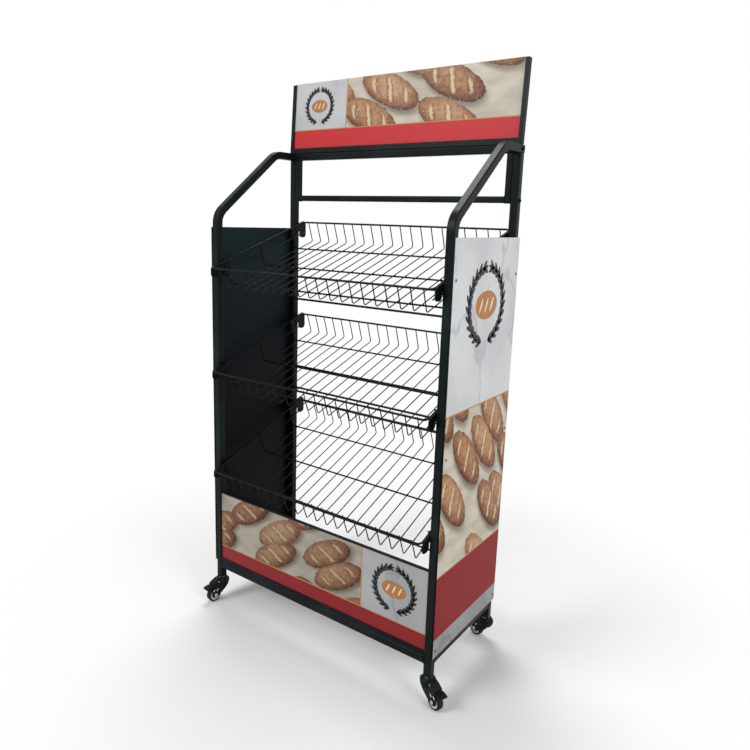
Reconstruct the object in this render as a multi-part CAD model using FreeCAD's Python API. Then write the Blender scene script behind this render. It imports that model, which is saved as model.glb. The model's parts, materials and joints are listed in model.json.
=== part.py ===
import FreeCAD, Part
import math
import os
from FreeCAD import Placement, Rotation, Vector

# Bakery display rack. Millimetres, +Z up, front towards -Y, origin on the floor
# under the middle of the footprint.

# ---- driving dimensions: frame ----
WIDTH = 900.0
DEPTH = 400.0
TUBE = 25.0
TUBE_CORNER = 4.0
TUBE_WALL = 1.5
POST_BOTTOM = 85.0
FRONT_BEND_HEIGHT = 1377.0
REAR_BEND_Y = 83.0
TOP_RUN_HEIGHT = 1590.5
SIDE_TUBE_BEND = 60.0
RAIL_BOTTOM = 123.0
CROSS_BAR_DIAMETER = 8.0
CROSS_BAR_HEIGHTS = (724.5, 811.0, 1072.0, 1156.0)
END_CAP_THICKNESS = 2.0

# ---- driving dimensions: header frame and sign ----
STILE = 20.0
WINDOW_BAR_BOTTOM = 1435.0
TOP_RAIL_DEPTH = 20.0
CHANNEL_DEPTH = 15.0
CHANNEL_WIDTH = 13.0
CHANNEL_FOOT = 17.0
CHANNEL_TOP = 1842.0
CHANNEL_GROOVE = 6.0
CHANNEL_GROOVE_DEPTH = 9.0
SIGN_THICKNESS = 5.0
SIGN_TOP = 1845.0
SIGN_EDGE_GAP = 0.6
SIGN_LEAN = 3.6
SIGN_SCREW_HEIGHT = 1662.0
SIGN_SCREW_LENGTH = 3.5

# ---- driving dimensions: panels ----
SIDE_PANEL_THICKNESS = 5.0
SIDE_PANEL_BOTTOM = 149.0
SIDE_PANEL_TOP = 1336.0
KICK_PANEL_THICKNESS = 5.0
KICK_PANEL_FRONT = 195.5
KICK_CHANNEL_FRONT = 198.0
KICK_CHANNEL_DEPTH = 11.0
KICK_CHANNEL_HEIGHT = 15.0
KICK_CHANNEL_FLOOR = 3.0
KICK_PANEL_TOP = 413.0
KICK_TRIM_WALL = 1.5
KICK_TRIM_HEIGHT = 5.0
PANEL_SCREW_HEIGHTS = (170.0, 745.0, 1228.0)
SCREW_SHANK = 4.0
SCREW_LENGTH = 12.0
SCREW_HEAD = 9.0
SCREW_HEAD_HEIGHT = 2.4
SMALL_SCREW_SHANK = 3.0
SMALL_SCREW_HEAD = 6.0
SMALL_SCREW_HEAD_HEIGHT = 1.6
BOLT_SHANK = 6.0
BOLT_LENGTH = 16.0
BOLT_HEAD = 11.0
BOLT_HEAD_HEIGHT = 3.3
WASHER_DIAMETER = 14.0
WASHER_THICKNESS = 1.2
HEADER_BOLT_HEIGHTS = (1443.0, 1590.5)

# ---- driving dimensions: wire baskets ----
SHELF_COUNT = 3
SHELF_PITCH = 346.0
LOWEST_SHELF_HEIGHT = 522.0
SHELF_CENTRE_Y = 12.5
SHELF_TILT = 19.0
LOWEST_SHELF_TILT = 21.0
FLOOR_LENGTH = 462.0
RIM_HEIGHT = 71.0
RIM_WIRE = 6.5
RIM_CORNER = 15.0
RIM_HALF_WIDTH = 417.0
CROSS_WIRE = 5.5
CROSS_WIRE_BEND = 10.0
CROSS_WIRE_PLACES = (-182.0, -10.5, 161.0)
INFILL_WIRE = 3.5
INFILL_BEND = 8.0
INFILL_COUNT = 20
INFILL_PITCH = 40.5
INFILL_TIP = 1.0
MID_WIRE = 4.0
MID_WIRE_HEIGHT = 38.0

# ---- driving dimensions: shelf hooks and studs ----
STUD_DIAMETER = 20.0
STUD_DROP = 16.0
STUD_LENGTH = 6.5
HOOK_THICKNESS = 3.0
HOOK_SLOT_CLEARANCE = 0.5
HOOK_OUTER_REACH = 44.5
HOOK_INNER_REACH = 37.5
HOOK_TIP_DROP = 31.0
HOOK_TIP_RADIUS = 12.5
HOOK_SHOULDER_RADIUS = 14.0

# ---- driving dimensions: casters ----
CASTER_ANGLES = {"front_left": -97.0, "front_right": -20.0, "rear_left": 160.0, "rear_right": 163.0}
WHEEL_RADIUS = 25.0
WHEEL_WIDTH = 20.0
HUB_WIDTH = 19.0
TREAD_ROUNDING = 3.0
HUB_RADIUS = 19.0
HUB_RECESS_RADIUS = 16.0
HUB_RECESS_DEPTH = 3.0
TRAIL = 36.0
AXLE_RADIUS = 4.0
AXLE_GAP = 0.05
AXLE_HEAD_RADIUS = 6.0
AXLE_HEAD_HEIGHT = 1.8
CHEEK_GAP = 0.8
CHEEK_THICKNESS = 3.0
LUG_RADIUS = 9.0
HEAD_RADIUS = 23.0
HEAD_BOTTOM = 58.0
HEAD_TOP = 83.5
STEM_RADIUS = 5.5
STEM_GAP = 0.1
STEM_BOTTOM = 66.0
STEM_REACH = 40.0
STEM_FLANGE_RADIUS = 14.0
SOCKET_HEIGHT = 35.0
SOCKET_FIT = 0.2
PEDAL_PIVOT = (28.0, 60.0)
PEDAL_PIN_RADIUS = 2.0
PEDAL_REACH = 72.0
HEAD_CHAMFER = 8.0
FLANGE_GAP = 0.3
SLOT_RADIUS = 2.5
SLOT_RUN = (4.0, -4.5)

# ---- outlines of the caster pieces: distance behind the stem, height above the floor ----
CHEEK_SLOTS = ((27.0, 45.0), (41.0, 46.0))
CHEEK_OUTLINE = (
    (-22.0, 78.0), (-22.0, 60.0), (-12.0, 44.0), (4.0, 32.0), (28.5, 18.0), (42.5, 18.0),
    (45.0, 29.0), (51.0, 36.0), (52.5, 44.0), (46.0, 49.0), (41.0, 52.0), (47.0, 56.0),
    (47.0, 65.0), (20.0, 78.0),
)
HOOD_OUTLINE = ((0.0, 78.0), (20.0, 78.0), (47.0, 65.0), (47.0, 66.5), (20.0, 80.5), (0.0, 80.5))
LEVER_ROOM_OUTLINE = ((20.0, 50.0), (20.0, 74.0), (34.0, 72.0), (60.0, 60.0), (60.0, 50.0))
PEDAL_ARM_OUTLINE = (
    (24.0, 57.0), (24.0, 63.0), (32.0, 64.5), (54.0, 61.0), (54.0, 55.0), (40.0, 55.5),
)
PEDAL_PAD_OUTLINE = (
    (49.0, 56.0), (49.0, 62.5), (66.0, 60.0), (PEDAL_REACH, 56.0), (PEDAL_REACH, 54.0), (62.0, 54.5),
)

# ---- derived places ----
HALF_WIDTH = WIDTH / 2
HALF_DEPTH = DEPTH / 2
POST_X = HALF_WIDTH - TUBE / 2
POST_Y = HALF_DEPTH - TUBE / 2
INNER_X = HALF_WIDTH - TUBE
INNER_Y = HALF_DEPTH - TUBE
RAIL_TOP = RAIL_BOTTOM + TUBE
TOP_RUN_BOTTOM = TOP_RUN_HEIGHT - TUBE / 2
TOP_RUN_TOP = TOP_RUN_HEIGHT + TUBE / 2
CHEEK_INNER = WHEEL_WIDTH / 2 + CHEEK_GAP
CHEEK_OUTER = CHEEK_INNER + CHEEK_THICKNESS
SIGN_MIDDLE_Y = INNER_Y + CHANNEL_DEPTH / 2
SIDES = {"left": -1, "right": 1}
SHELF_HEIGHTS = [LOWEST_SHELF_HEIGHT + SHELF_PITCH * level for level in range(SHELF_COUNT)]

# The casters trail unevenly, so the frame stands a little behind the middle of the footprint.
FRONT_TRAIL = math.radians(CASTER_ANGLES["front_left"])
FRONT_REACH = POST_Y - PEDAL_REACH * math.sin(FRONT_TRAIL) - CHEEK_OUTER * math.cos(FRONT_TRAIL)
REAR_REACH = POST_Y + HOOK_OUTER_REACH
FRAME_SHIFT = (FRONT_REACH - REAR_REACH) / 2

AXES = {"x": Vector(1, 0, 0), "y": Vector(0, 1, 0), "z": Vector(0, 0, 1)}
CUT_OVERRUN = 1.0


# ---- general helpers ----
def save(name, solids):
    """Write one solid, or a group of separate solids, as a named sub-part."""
    shape = Part.makeCompound(solids) if isinstance(solids, list) else solids
    shape.translate(Vector(0, FRAME_SHIFT, 0))
    shape.exportStep(os.path.join("parts", name + ".step"))
    print(f"{name}: {len(shape.Solids)} solids, {shape.Volume / 1000:.1f} cm3, valid {shape.isValid()}")


def block(x, y, z):
    """Box between the low and high value of each axis."""
    return Part.makeBox(x[1] - x[0], y[1] - y[0], z[1] - z[0], Vector(x[0], y[0], z[0]))


def span(middle, size):
    return (middle - size / 2, middle + size / 2)


def outward(side, near, far):
    """Range along X from near to far, measured outwards on the given side."""
    return tuple(sorted((side * near, side * far)))


def edges_along(shape, axis):
    direction = AXES[axis]
    straight = [edge for edge in shape.Edges if isinstance(edge.Curve, Part.Line)]
    return [edge for edge in straight if abs(edge.tangentAt(edge.FirstParameter).dot(direction)) > 0.999]


def rounded_bar(x, y, z, axis, radius):
    bar = block(x, y, z)
    return bar.makeFillet(radius, edges_along(bar, axis))


def square_tube(x, y, z, axis):
    """Hollow tube whose outside fills the three ranges, open at both ends."""
    ranges = {"x": x, "y": y, "z": z}
    bore = [
        limits if name == axis else (limits[0] + TUBE_WALL, limits[1] - TUBE_WALL)
        for name, limits in ranges.items()
    ]
    outside = rounded_bar(x, y, z, axis, TUBE_CORNER)
    inside = rounded_bar(*bore, axis, TUBE_CORNER - TUBE_WALL)
    return outside.cut(inside)


def rounded_rectangle(width, height, radius):
    """Closed wire round the origin in the XY plane."""
    half_w = width / 2 - radius
    half_h = height / 2 - radius
    centres = [(half_w, half_h), (-half_w, half_h), (-half_w, -half_h), (half_w, -half_h)]
    arcs = [
        Part.makeCircle(radius, Vector(x, y, 0), AXES["z"], 90 * turn, 90 * turn + 90)
        for turn, (x, y) in enumerate(centres)
    ]
    edges = []
    for arc, following in zip(arcs, arcs[1:] + arcs[:1]):
        edges += [arc, Part.makeLine(arc.Vertexes[-1].Point, following.Vertexes[0].Point)]
    return Part.Wire(edges)


def bent_path(points, radius):
    """Wire through the points: straight runs joined by tangent arcs of one radius."""
    edges = []
    run_start = points[0]
    for before, corner, after in zip(points, points[1:], points[2:]):
        back = (before - corner).normalize()
        ahead = (after - corner).normalize()
        half_angle = back.getAngle(ahead) / 2
        arc_start = corner + back * (radius / math.tan(half_angle))
        arc_end = corner + ahead * (radius / math.tan(half_angle))
        inwards = (back + ahead).normalize()
        arc_middle = corner + inwards * (radius / math.sin(half_angle) - radius)
        edges.append(Part.makeLine(run_start, arc_start))
        edges.append(Part.Arc(arc_start, arc_middle, arc_end).toShape())
        run_start = arc_end
    edges.append(Part.makeLine(run_start, points[-1]))
    return Part.Wire(edges)


def swept(path, outline):
    """Sweep a wire, drawn round the origin in the XY plane, along a path."""
    first = path.Edges[0]
    start = first.valueAt(first.FirstParameter)
    direction = first.tangentAt(first.FirstParameter)
    profile = outline.copy()
    profile.Placement = Placement(start, Rotation(AXES["z"], direction))
    return path.makePipeShell([profile], True, False)


def rod(points, diameter, radius=None):
    """Round wire through the points; one straight run is a plain cylinder."""
    if radius is None:
        run = points[1] - points[0]
        return Part.makeCylinder(diameter / 2, run.Length, points[0], run)
    circle = Part.Wire([Part.makeCircle(diameter / 2)])
    return swept(bent_path(points, radius), circle)


def extruded(outline, axis, start, length):
    """Prism from two-coordinate outline points, along X or Y, from start over length."""
    place = {"x": lambda a, b: Vector(start, a, b), "y": lambda a, b: Vector(a, start, b)}[axis]
    corners = [place(a, b) for a, b in outline]
    face = Part.Face(Part.makePolygon(corners + corners[:1]))
    return face.extrude(AXES[axis] * length)


def mirrored(shape, side):
    """The shape itself on the right side, its mirror image on the left."""
    return shape if side > 0 else shape.mirror(Vector(), AXES["x"])


def fastener(x, y, z, side, shank, length, head, head_height, washer=0.0):
    """Round-headed fastener driven inwards along X into the face at x."""
    out = AXES["x"] * side
    seat = Vector(x, y, z)
    seat_of_head = seat + out * (WASHER_THICKNESS if washer else 0.0)
    body = Part.makeCylinder(shank / 2, length, seat - out * length, out)
    dome = Part.makeCone(head / 2, head / 3, head_height, seat_of_head, out)
    pieces = [dome]
    if washer:
        pieces.append(Part.makeCylinder(washer / 2, WASHER_THICKNESS, seat, out))
    return body.fuse(pieces).removeSplitter()


def drilled(shape, x, y, heights, diameter, depth=TUBE):
    """Cut round holes along X through the wall at x."""
    for height in heights:
        start = Vector(x - depth / 2, y, height)
        shape = shape.cut(Part.makeCylinder(diameter / 2, depth, start, AXES["x"]))
    return shape


# ---- frame ----
def side_tube(side):
    """Front post, slope and top run bent from one square tube."""
    points = [
        Vector(side * POST_X, -POST_Y, POST_BOTTOM),
        Vector(side * POST_X, -POST_Y, FRONT_BEND_HEIGHT),
        Vector(side * POST_X, REAR_BEND_Y, TOP_RUN_HEIGHT),
        Vector(side * POST_X, HALF_DEPTH, TOP_RUN_HEIGHT),
    ]
    path = bent_path(points, SIDE_TUBE_BEND)
    bore = TUBE - 2 * TUBE_WALL
    outside = swept(path, rounded_rectangle(TUBE, TUBE, TUBE_CORNER))
    inside = swept(path, rounded_rectangle(bore, bore, TUBE_CORNER - TUBE_WALL))
    tube = outside.cut(inside)
    wall_x = side * HALF_WIDTH
    tube = drilled(tube, wall_x, -POST_Y, PANEL_SCREW_HEIGHTS, SCREW_SHANK)
    return drilled(tube, wall_x, POST_Y, HEADER_BOLT_HEIGHTS[1:], BOLT_SHANK)


def rear_post(side):
    x = outward(side, INNER_X, HALF_WIDTH)
    post = square_tube(x, (INNER_Y, HALF_DEPTH), (POST_BOTTOM, TOP_RUN_BOTTOM), "z")
    wall_x = side * HALF_WIDTH
    post = drilled(post, wall_x, POST_Y, PANEL_SCREW_HEIGHTS, SCREW_SHANK)
    return drilled(post, wall_x, POST_Y, HEADER_BOLT_HEIGHTS[:1], BOLT_SHANK)


def end_caps():
    """Plates that close the rear ends of the two side tubes."""
    size = TUBE - 2 * TUBE_WALL
    y = (HALF_DEPTH - END_CAP_THICKNESS, HALF_DEPTH)
    z = span(TOP_RUN_HEIGHT, size)
    corner = TUBE_CORNER - TUBE_WALL
    return [rounded_bar(span(side * POST_X, size), y, z, "y", corner) for side in SIDES.values()]


def cross_bars():
    return [
        rod([Vector(-INNER_X, POST_Y, z), Vector(INNER_X, POST_Y, z)], CROSS_BAR_DIAMETER)
        for z in CROSS_BAR_HEIGHTS
    ]


def build_frame():
    width = (-INNER_X, INNER_X)
    rail_z = (RAIL_BOTTOM, RAIL_TOP)
    for name, side in SIDES.items():
        save(f"{name}_side_tube", side_tube(side))
        save(f"{name}_rear_post", rear_post(side))
        x = outward(side, INNER_X, HALF_WIDTH)
        save(f"{name}_bottom_rail", square_tube(x, (-INNER_Y, INNER_Y), rail_z, "y"))
    save("front_bottom_rail", square_tube(width, (-HALF_DEPTH, -INNER_Y), rail_z, "x"))
    save("rear_bottom_rail", square_tube(width, (INNER_Y, HALF_DEPTH), rail_z, "x"))
    save("tube_end_caps", end_caps())
    save("rear_cross_bars", cross_bars())


# ---- header frame and sign ----
def leaning(shape):
    """Turn a piece drawn upright about the channels' rear lower edge, so that its top leans back."""
    shape.rotate(Vector(0, INNER_Y + CHANNEL_DEPTH, TOP_RUN_TOP), AXES["x"], -SIGN_LEAN)
    return shape


def sign_channel(side):
    """Upright channel whose groove faces the middle of the sign."""
    x = outward(side, HALF_WIDTH - CHANNEL_WIDTH, HALF_WIDTH)
    bar = block(x, (INNER_Y, INNER_Y + CHANNEL_DEPTH), (TOP_RUN_TOP, CHANNEL_TOP))
    groove_start = HALF_WIDTH - CHANNEL_WIDTH
    groove_x = outward(side, groove_start - CUT_OVERRUN, groove_start + CHANNEL_GROOVE_DEPTH)
    groove_z = (TOP_RUN_TOP + CHANNEL_FOOT - CHANNEL_GROOVE_DEPTH, CHANNEL_TOP + CUT_OVERRUN)
    groove = block(groove_x, span(SIGN_MIDDLE_Y, CHANNEL_GROOVE), groove_z)
    hole = (side * HALF_WIDTH, SIGN_MIDDLE_Y, [SIGN_SCREW_HEIGHT], SMALL_SCREW_SHANK, CHANNEL_WIDTH)
    return leaning(drilled(bar.cut(groove), *hole))


def sign_sill():
    """Lower channel, between the two upright ones."""
    end = HALF_WIDTH - CHANNEL_WIDTH
    top = TOP_RUN_TOP + CHANNEL_FOOT
    bar = block((-end, end), (INNER_Y, INNER_Y + CHANNEL_DEPTH), (TOP_RUN_TOP, top))
    groove_z = (top - CHANNEL_GROOVE_DEPTH, top + CUT_OVERRUN)
    groove = block((-end, end), span(SIGN_MIDDLE_Y, CHANNEL_GROOVE), groove_z)
    return leaning(bar.cut(groove))


def sign_board():
    half = HALF_WIDTH - CHANNEL_WIDTH + CHANNEL_GROOVE_DEPTH - SIGN_EDGE_GAP
    foot = TOP_RUN_TOP + CHANNEL_FOOT - CHANNEL_GROOVE_DEPTH + SIGN_EDGE_GAP
    y = span(SIGN_MIDDLE_Y, SIGN_THICKNESS)
    return leaning(block((-half, half), y, (foot, SIGN_TOP)))


def header_bolts():
    bolts = []
    for side in SIDES.values():
        for z in HEADER_BOLT_HEIGHTS:
            x = side * HALF_WIDTH
            sizes = (BOLT_SHANK, BOLT_LENGTH, BOLT_HEAD, BOLT_HEAD_HEIGHT, WASHER_DIAMETER)
            bolts.append(fastener(x, POST_Y, z, side, *sizes))
    return bolts


def build_header():
    stile_y = (INNER_Y, INNER_Y + STILE)
    bar_z = (WINDOW_BAR_BOTTOM, WINDOW_BAR_BOTTOM + STILE)
    inner = INNER_X - STILE
    for name, side in SIDES.items():
        x = outward(side, inner, INNER_X)
        save(f"header_{name}_stile", square_tube(x, stile_y, (WINDOW_BAR_BOTTOM, TOP_RUN_BOTTOM), "z"))
        save(f"sign_{name}_channel", sign_channel(side))
    save("header_window_bar", square_tube((-inner, inner), stile_y, bar_z, "x"))
    top_y = (INNER_Y, INNER_Y + TOP_RAIL_DEPTH)
    top_z = (TOP_RUN_BOTTOM, TOP_RUN_TOP)
    save("header_top_rail", square_tube((-INNER_X, INNER_X), top_y, top_z, "x"))
    save("sign_sill_channel", sign_sill())
    save("header_sign", sign_board())
    save("header_bolts", header_bolts())


# ---- panels ----
def side_panel(side):
    x = outward(side, HALF_WIDTH, HALF_WIDTH + SIDE_PANEL_THICKNESS)
    panel = block(x, (-HALF_DEPTH, HALF_DEPTH), (SIDE_PANEL_BOTTOM, SIDE_PANEL_TOP))
    for y in (-POST_Y, POST_Y):
        panel = drilled(panel, side * HALF_WIDTH, y, PANEL_SCREW_HEIGHTS, SCREW_SHANK)
    return panel


def kick_channel():
    """Channel on the front rail that holds the foot of the kick panel."""
    y = (-KICK_CHANNEL_FRONT, -KICK_CHANNEL_FRONT + KICK_CHANNEL_DEPTH)
    bar = block((-INNER_X, INNER_X), y, (RAIL_TOP, RAIL_TOP + KICK_CHANNEL_HEIGHT))
    groove_y = (-KICK_PANEL_FRONT, -KICK_PANEL_FRONT + KICK_PANEL_THICKNESS)
    groove_z = (RAIL_TOP + KICK_CHANNEL_FLOOR, RAIL_TOP + KICK_CHANNEL_HEIGHT + CUT_OVERRUN)
    return bar.cut(block((-INNER_X, INNER_X), groove_y, groove_z))


def kick_trim():
    """Thin U-shaped strip over the top edge of the kick panel."""
    front = -KICK_PANEL_FRONT - KICK_TRIM_WALL
    back = -KICK_PANEL_FRONT + KICK_PANEL_THICKNESS + KICK_TRIM_WALL
    top = KICK_PANEL_TOP + KICK_TRIM_WALL
    strip = block((-INNER_X, INNER_X), (front, back), (top - KICK_TRIM_HEIGHT, top))
    groove_y = (-KICK_PANEL_FRONT, -KICK_PANEL_FRONT + KICK_PANEL_THICKNESS)
    return strip.cut(block((-INNER_X, INNER_X), groove_y, (0, KICK_PANEL_TOP)))


def board_screws():
    """Screws of the side boards, and the small one in each sign channel."""
    screws = []
    for side in SIDES.values():
        for y in (-POST_Y, POST_Y):
            for z in PANEL_SCREW_HEIGHTS:
                x = side * (HALF_WIDTH + SIDE_PANEL_THICKNESS)
                sizes = (SCREW_SHANK, SCREW_LENGTH, SCREW_HEAD, SCREW_HEAD_HEIGHT)
                screws.append(fastener(x, y, z, side, *sizes))
        place = (side * HALF_WIDTH, SIGN_MIDDLE_Y, SIGN_SCREW_HEIGHT)
        sizes = (SMALL_SCREW_SHANK, SIGN_SCREW_LENGTH, SMALL_SCREW_HEAD, SMALL_SCREW_HEAD_HEIGHT)
        screws.append(leaning(fastener(*place, side, *sizes)))
    return screws


def build_panels():
    for name, side in SIDES.items():
        save(f"{name}_side_panel", side_panel(side))
    y = (-KICK_PANEL_FRONT, -KICK_PANEL_FRONT + KICK_PANEL_THICKNESS)
    z = (RAIL_TOP + KICK_CHANNEL_FLOOR, KICK_PANEL_TOP)
    save("kick_panel", block((-INNER_X, INNER_X), y, z))
    save("kick_channel", kick_channel())
    save("kick_trim", kick_trim())
    save("board_screws", board_screws())


# ---- wire baskets ----
def shelf_tilt(height):
    """Slope of the basket at the height: the lowest one leans further forward."""
    return LOWEST_SHELF_TILT if height == LOWEST_SHELF_HEIGHT else SHELF_TILT


def on_slope(shape, height):
    """Move a piece drawn flat round the origin into a tilted basket at the height."""
    tilt = Rotation(AXES["x"], shelf_tilt(height))
    shape.Placement = Placement(Vector(0, SHELF_CENTRE_Y, height), tilt).multiply(shape.Placement)
    return shape


def rim_line_height(y, height):
    """Height of the side rim's centre line above the floor at a place along the depth."""
    tilt = math.radians(shelf_tilt(height))
    rise = RIM_HEIGHT * math.cos(tilt)
    lean = RIM_HEIGHT * math.sin(tilt)
    return height + rise + (y - SHELF_CENTRE_Y + lean) * math.tan(tilt)


def infill_wires(height):
    """Wires that run down the back lip, along the floor and up the front lip."""
    half = FLOOR_LENGTH / 2
    top = RIM_HEIGHT + INFILL_TIP
    wires = []
    for number in range(INFILL_COUNT):
        x = (number - (INFILL_COUNT - 1) / 2) * INFILL_PITCH
        points = [Vector(x, -half, top), Vector(x, -half, 0), Vector(x, half, 0), Vector(x, half, top)]
        wires.append(on_slope(rod(points, INFILL_WIRE, INFILL_BEND), height))
    return wires


def cross_wires(height):
    """Wires under the floor whose ends turn up to the side rims."""
    half = RIM_HALF_WIDTH - (RIM_WIRE + CROSS_WIRE) / 2
    low = -(INFILL_WIRE + CROSS_WIRE) / 2
    wires = []
    for y in CROSS_WIRE_PLACES:
        ends = [(-half, RIM_HEIGHT), (-half, low), (half, low), (half, RIM_HEIGHT)]
        points = [Vector(x, y, z) for x, z in ends]
        wires.append(on_slope(rod(points, CROSS_WIRE, CROSS_WIRE_BEND), height))
    return wires


def rim_wire(height):
    """Closed loop round the top of the basket, welded outside the infill wires."""
    length = FLOOR_LENGTH + INFILL_WIRE + RIM_WIRE
    loop = rounded_rectangle(2 * RIM_HALF_WIDTH, length, RIM_CORNER)
    loop.translate(Vector(0, 0, RIM_HEIGHT))
    circle = Part.Wire([Part.makeCircle(RIM_WIRE / 2)])
    return on_slope(swept(loop, circle), height)


def mid_wires(height):
    """Straight wires half way up the two sides, inside the cross wires' ends."""
    x = RIM_HALF_WIDTH - RIM_WIRE / 2 - CROSS_WIRE - MID_WIRE / 2
    end = FLOOR_LENGTH / 2 - INFILL_WIRE
    wires = []
    for side in SIDES.values():
        points = [Vector(side * x, -end, MID_WIRE_HEIGHT), Vector(side * x, end, MID_WIRE_HEIGHT)]
        wires.append(on_slope(rod(points, MID_WIRE), height))
    return wires


def stud_place(end, height):
    """Y and Z of the stud at the front (end -1) or the rear (end 1)."""
    y = end * POST_Y
    return y, rim_line_height(y, height) - STUD_DROP


def hook_plate(side, end, height):
    """Plate with a slot from below that drops over the stud, one tongue each side of it."""
    stud_y, stud_z = stud_place(end, height)
    slot = STUD_DIAMETER / 2 + HOOK_SLOT_CLEARANCE
    tip = stud_z - HOOK_TIP_DROP
    low_y, high_y = sorted((stud_y + end * HOOK_OUTER_REACH, stud_y - end * HOOK_INNER_REACH))
    inner = RIM_HALF_WIDTH + RIM_WIRE / 2
    outline = [(low_y, tip), (high_y, tip)]
    outline += [(y, rim_line_height(y, height) + RIM_WIRE / 2) for y in (high_y, low_y)]
    plate = extruded(outline, "x", inner, HOOK_THICKNESS)
    slot_x = (inner, inner + HOOK_THICKNESS)
    plate = plate.cut(block(slot_x, span(stud_y, 2 * slot), (tip, stud_z)))
    start = Vector(inner, stud_y, stud_z)
    plate = plate.cut(Part.makeCylinder(slot, HOOK_THICKNESS, start, AXES["x"]))
    tips = [edge for edge in edges_along(plate, "x") if abs(edge.BoundBox.Center.z - tip) < 0.01]
    plate = plate.makeFillet(HOOK_TIP_RADIUS, tips)
    shoulder_y = stud_y + end * HOOK_OUTER_REACH
    corners = [edge for edge in edges_along(plate, "x") if abs(edge.BoundBox.Center.y - shoulder_y) < 0.01]
    shoulder = max(corners, key=lambda edge: edge.BoundBox.Center.z)
    return mirrored(plate.makeFillet(HOOK_SHOULDER_RADIUS, [shoulder]), side)


def hook_plates(height):
    return [hook_plate(side, end, height) for side in SIDES.values() for end in (-1, 1)]


def shelf_studs():
    """Round studs on the inner faces of the posts, four to a basket."""
    studs = []
    for side in SIDES.values():
        for height in SHELF_HEIGHTS:
            for end in (-1, 1):
                y, z = stud_place(end, height)
                start = Vector(side * INNER_X, y, z)
                studs.append(Part.makeCylinder(STUD_DIAMETER / 2, STUD_LENGTH, start, AXES["x"] * -side))
    return studs


def build_baskets():
    save("shelf_studs", shelf_studs())
    for number, height in enumerate(reversed(SHELF_HEIGHTS), start=1):
        save(f"shelf_{number}_infill_wires", infill_wires(height))
        save(f"shelf_{number}_support_wires", cross_wires(height) + mid_wires(height))
        save(f"shelf_{number}_rim", rim_wire(height))
        save(f"shelf_{number}_hooks", hook_plates(height))


# ---- casters, drawn with the stem on the Z axis and the wheel trailing along +X ----
def disc(x, z, radius, y):
    return Part.makeCylinder(radius, y[1] - y[0], Vector(x, y[0], z), AXES["y"])


def long_hole(start, run, radius, y):
    """Round-ended hole, from the start point along the run."""
    reach = math.hypot(*run)
    side_x = -run[1] * radius / reach
    side_z = run[0] * radius / reach
    end = (start[0] + run[0], start[1] + run[1])
    outline = [(x + side_x, z + side_z) for x, z in (start, end)]
    outline += [(x - side_x, z - side_z) for x, z in (end, start)]
    middle = extruded(outline, "y", y[0], y[1] - y[0])
    return middle.fuse([disc(*start, radius, y), disc(*end, radius, y)])


def tyre():
    tread = disc(TRAIL, WHEEL_RADIUS, WHEEL_RADIUS, span(0, WHEEL_WIDTH))
    rims = [edge for edge in tread.Edges if isinstance(edge.Curve, Part.Circle)]
    tread = tread.makeFillet(TREAD_ROUNDING, rims)
    return tread.cut(disc(TRAIL, WHEEL_RADIUS, HUB_RADIUS, span(0, WHEEL_WIDTH)))


def hub():
    """White wheel centre, dished on both faces round the boss."""
    centre = disc(TRAIL, WHEEL_RADIUS, HUB_RADIUS, span(0, HUB_WIDTH))
    boss = disc(TRAIL, WHEEL_RADIUS, AXLE_HEAD_RADIUS, span(0, HUB_WIDTH))
    face = HUB_WIDTH / 2
    for y in ((-face, -face + HUB_RECESS_DEPTH), (face - HUB_RECESS_DEPTH, face)):
        centre = centre.cut(disc(TRAIL, WHEEL_RADIUS, HUB_RECESS_RADIUS, y))
    return centre.fuse(boss).cut(disc(TRAIL, WHEEL_RADIUS, AXLE_RADIUS + AXLE_GAP, span(0, WHEEL_WIDTH)))


def axle():
    shank = disc(TRAIL, WHEEL_RADIUS, AXLE_RADIUS, span(0, 2 * CHEEK_OUTER))
    heads = [
        disc(TRAIL, WHEEL_RADIUS, AXLE_HEAD_RADIUS, (CHEEK_OUTER, CHEEK_OUTER + AXLE_HEAD_HEIGHT)),
        disc(TRAIL, WHEEL_RADIUS, AXLE_HEAD_RADIUS, (-CHEEK_OUTER - AXLE_HEAD_HEIGHT, -CHEEK_OUTER)),
    ]
    pin = disc(*PEDAL_PIVOT, PEDAL_PIN_RADIUS, span(0, 2 * CHEEK_OUTER))
    return [shank.fuse(heads), pin]


def cheek(y):
    """Side wall of the housing: a leg from the head down to the axle, with two slots."""
    plate = extruded(CHEEK_OUTLINE, "y", y[0], y[1] - y[0])
    plate = plate.fuse(disc(TRAIL, WHEEL_RADIUS, LUG_RADIUS, y))
    return plate.cut([long_hole(start, SLOT_RUN, SLOT_RADIUS, y) for start in CHEEK_SLOTS])


def housing():
    """Swivelling fork: round head, two cheeks and the hood over the wheel."""
    walls = [cheek((-CHEEK_OUTER, -CHEEK_INNER)), cheek((CHEEK_INNER, CHEEK_OUTER))]
    head = Part.makeCylinder(HEAD_RADIUS, HEAD_TOP - HEAD_BOTTOM, Vector(0, 0, HEAD_BOTTOM))
    top_edges = [edge for edge in head.Edges if abs(edge.BoundBox.Center.z - HEAD_TOP) < 0.01]
    head = head.makeChamfer(HEAD_CHAMFER, top_edges)
    hood = extruded(HOOD_OUTLINE, "y", -CHEEK_OUTER, 2 * CHEEK_OUTER)
    fork = head.fuse(walls + [hood])
    lever_room = extruded(LEVER_ROOM_OUTLINE, "y", -CHEEK_INNER, 2 * CHEEK_INNER)
    stem_start = Vector(0, 0, STEM_BOTTOM - STEM_GAP)
    stem_bore = Part.makeCylinder(STEM_RADIUS + STEM_GAP, HEAD_TOP, stem_start)
    axle_bore = disc(TRAIL, WHEEL_RADIUS, AXLE_RADIUS, span(0, 2 * CHEEK_OUTER))
    pin_bore = disc(*PEDAL_PIVOT, PEDAL_PIN_RADIUS, span(0, 2 * CHEEK_OUTER))
    return fork.cut([lever_room, stem_bore, axle_bore, pin_bore])


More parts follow.
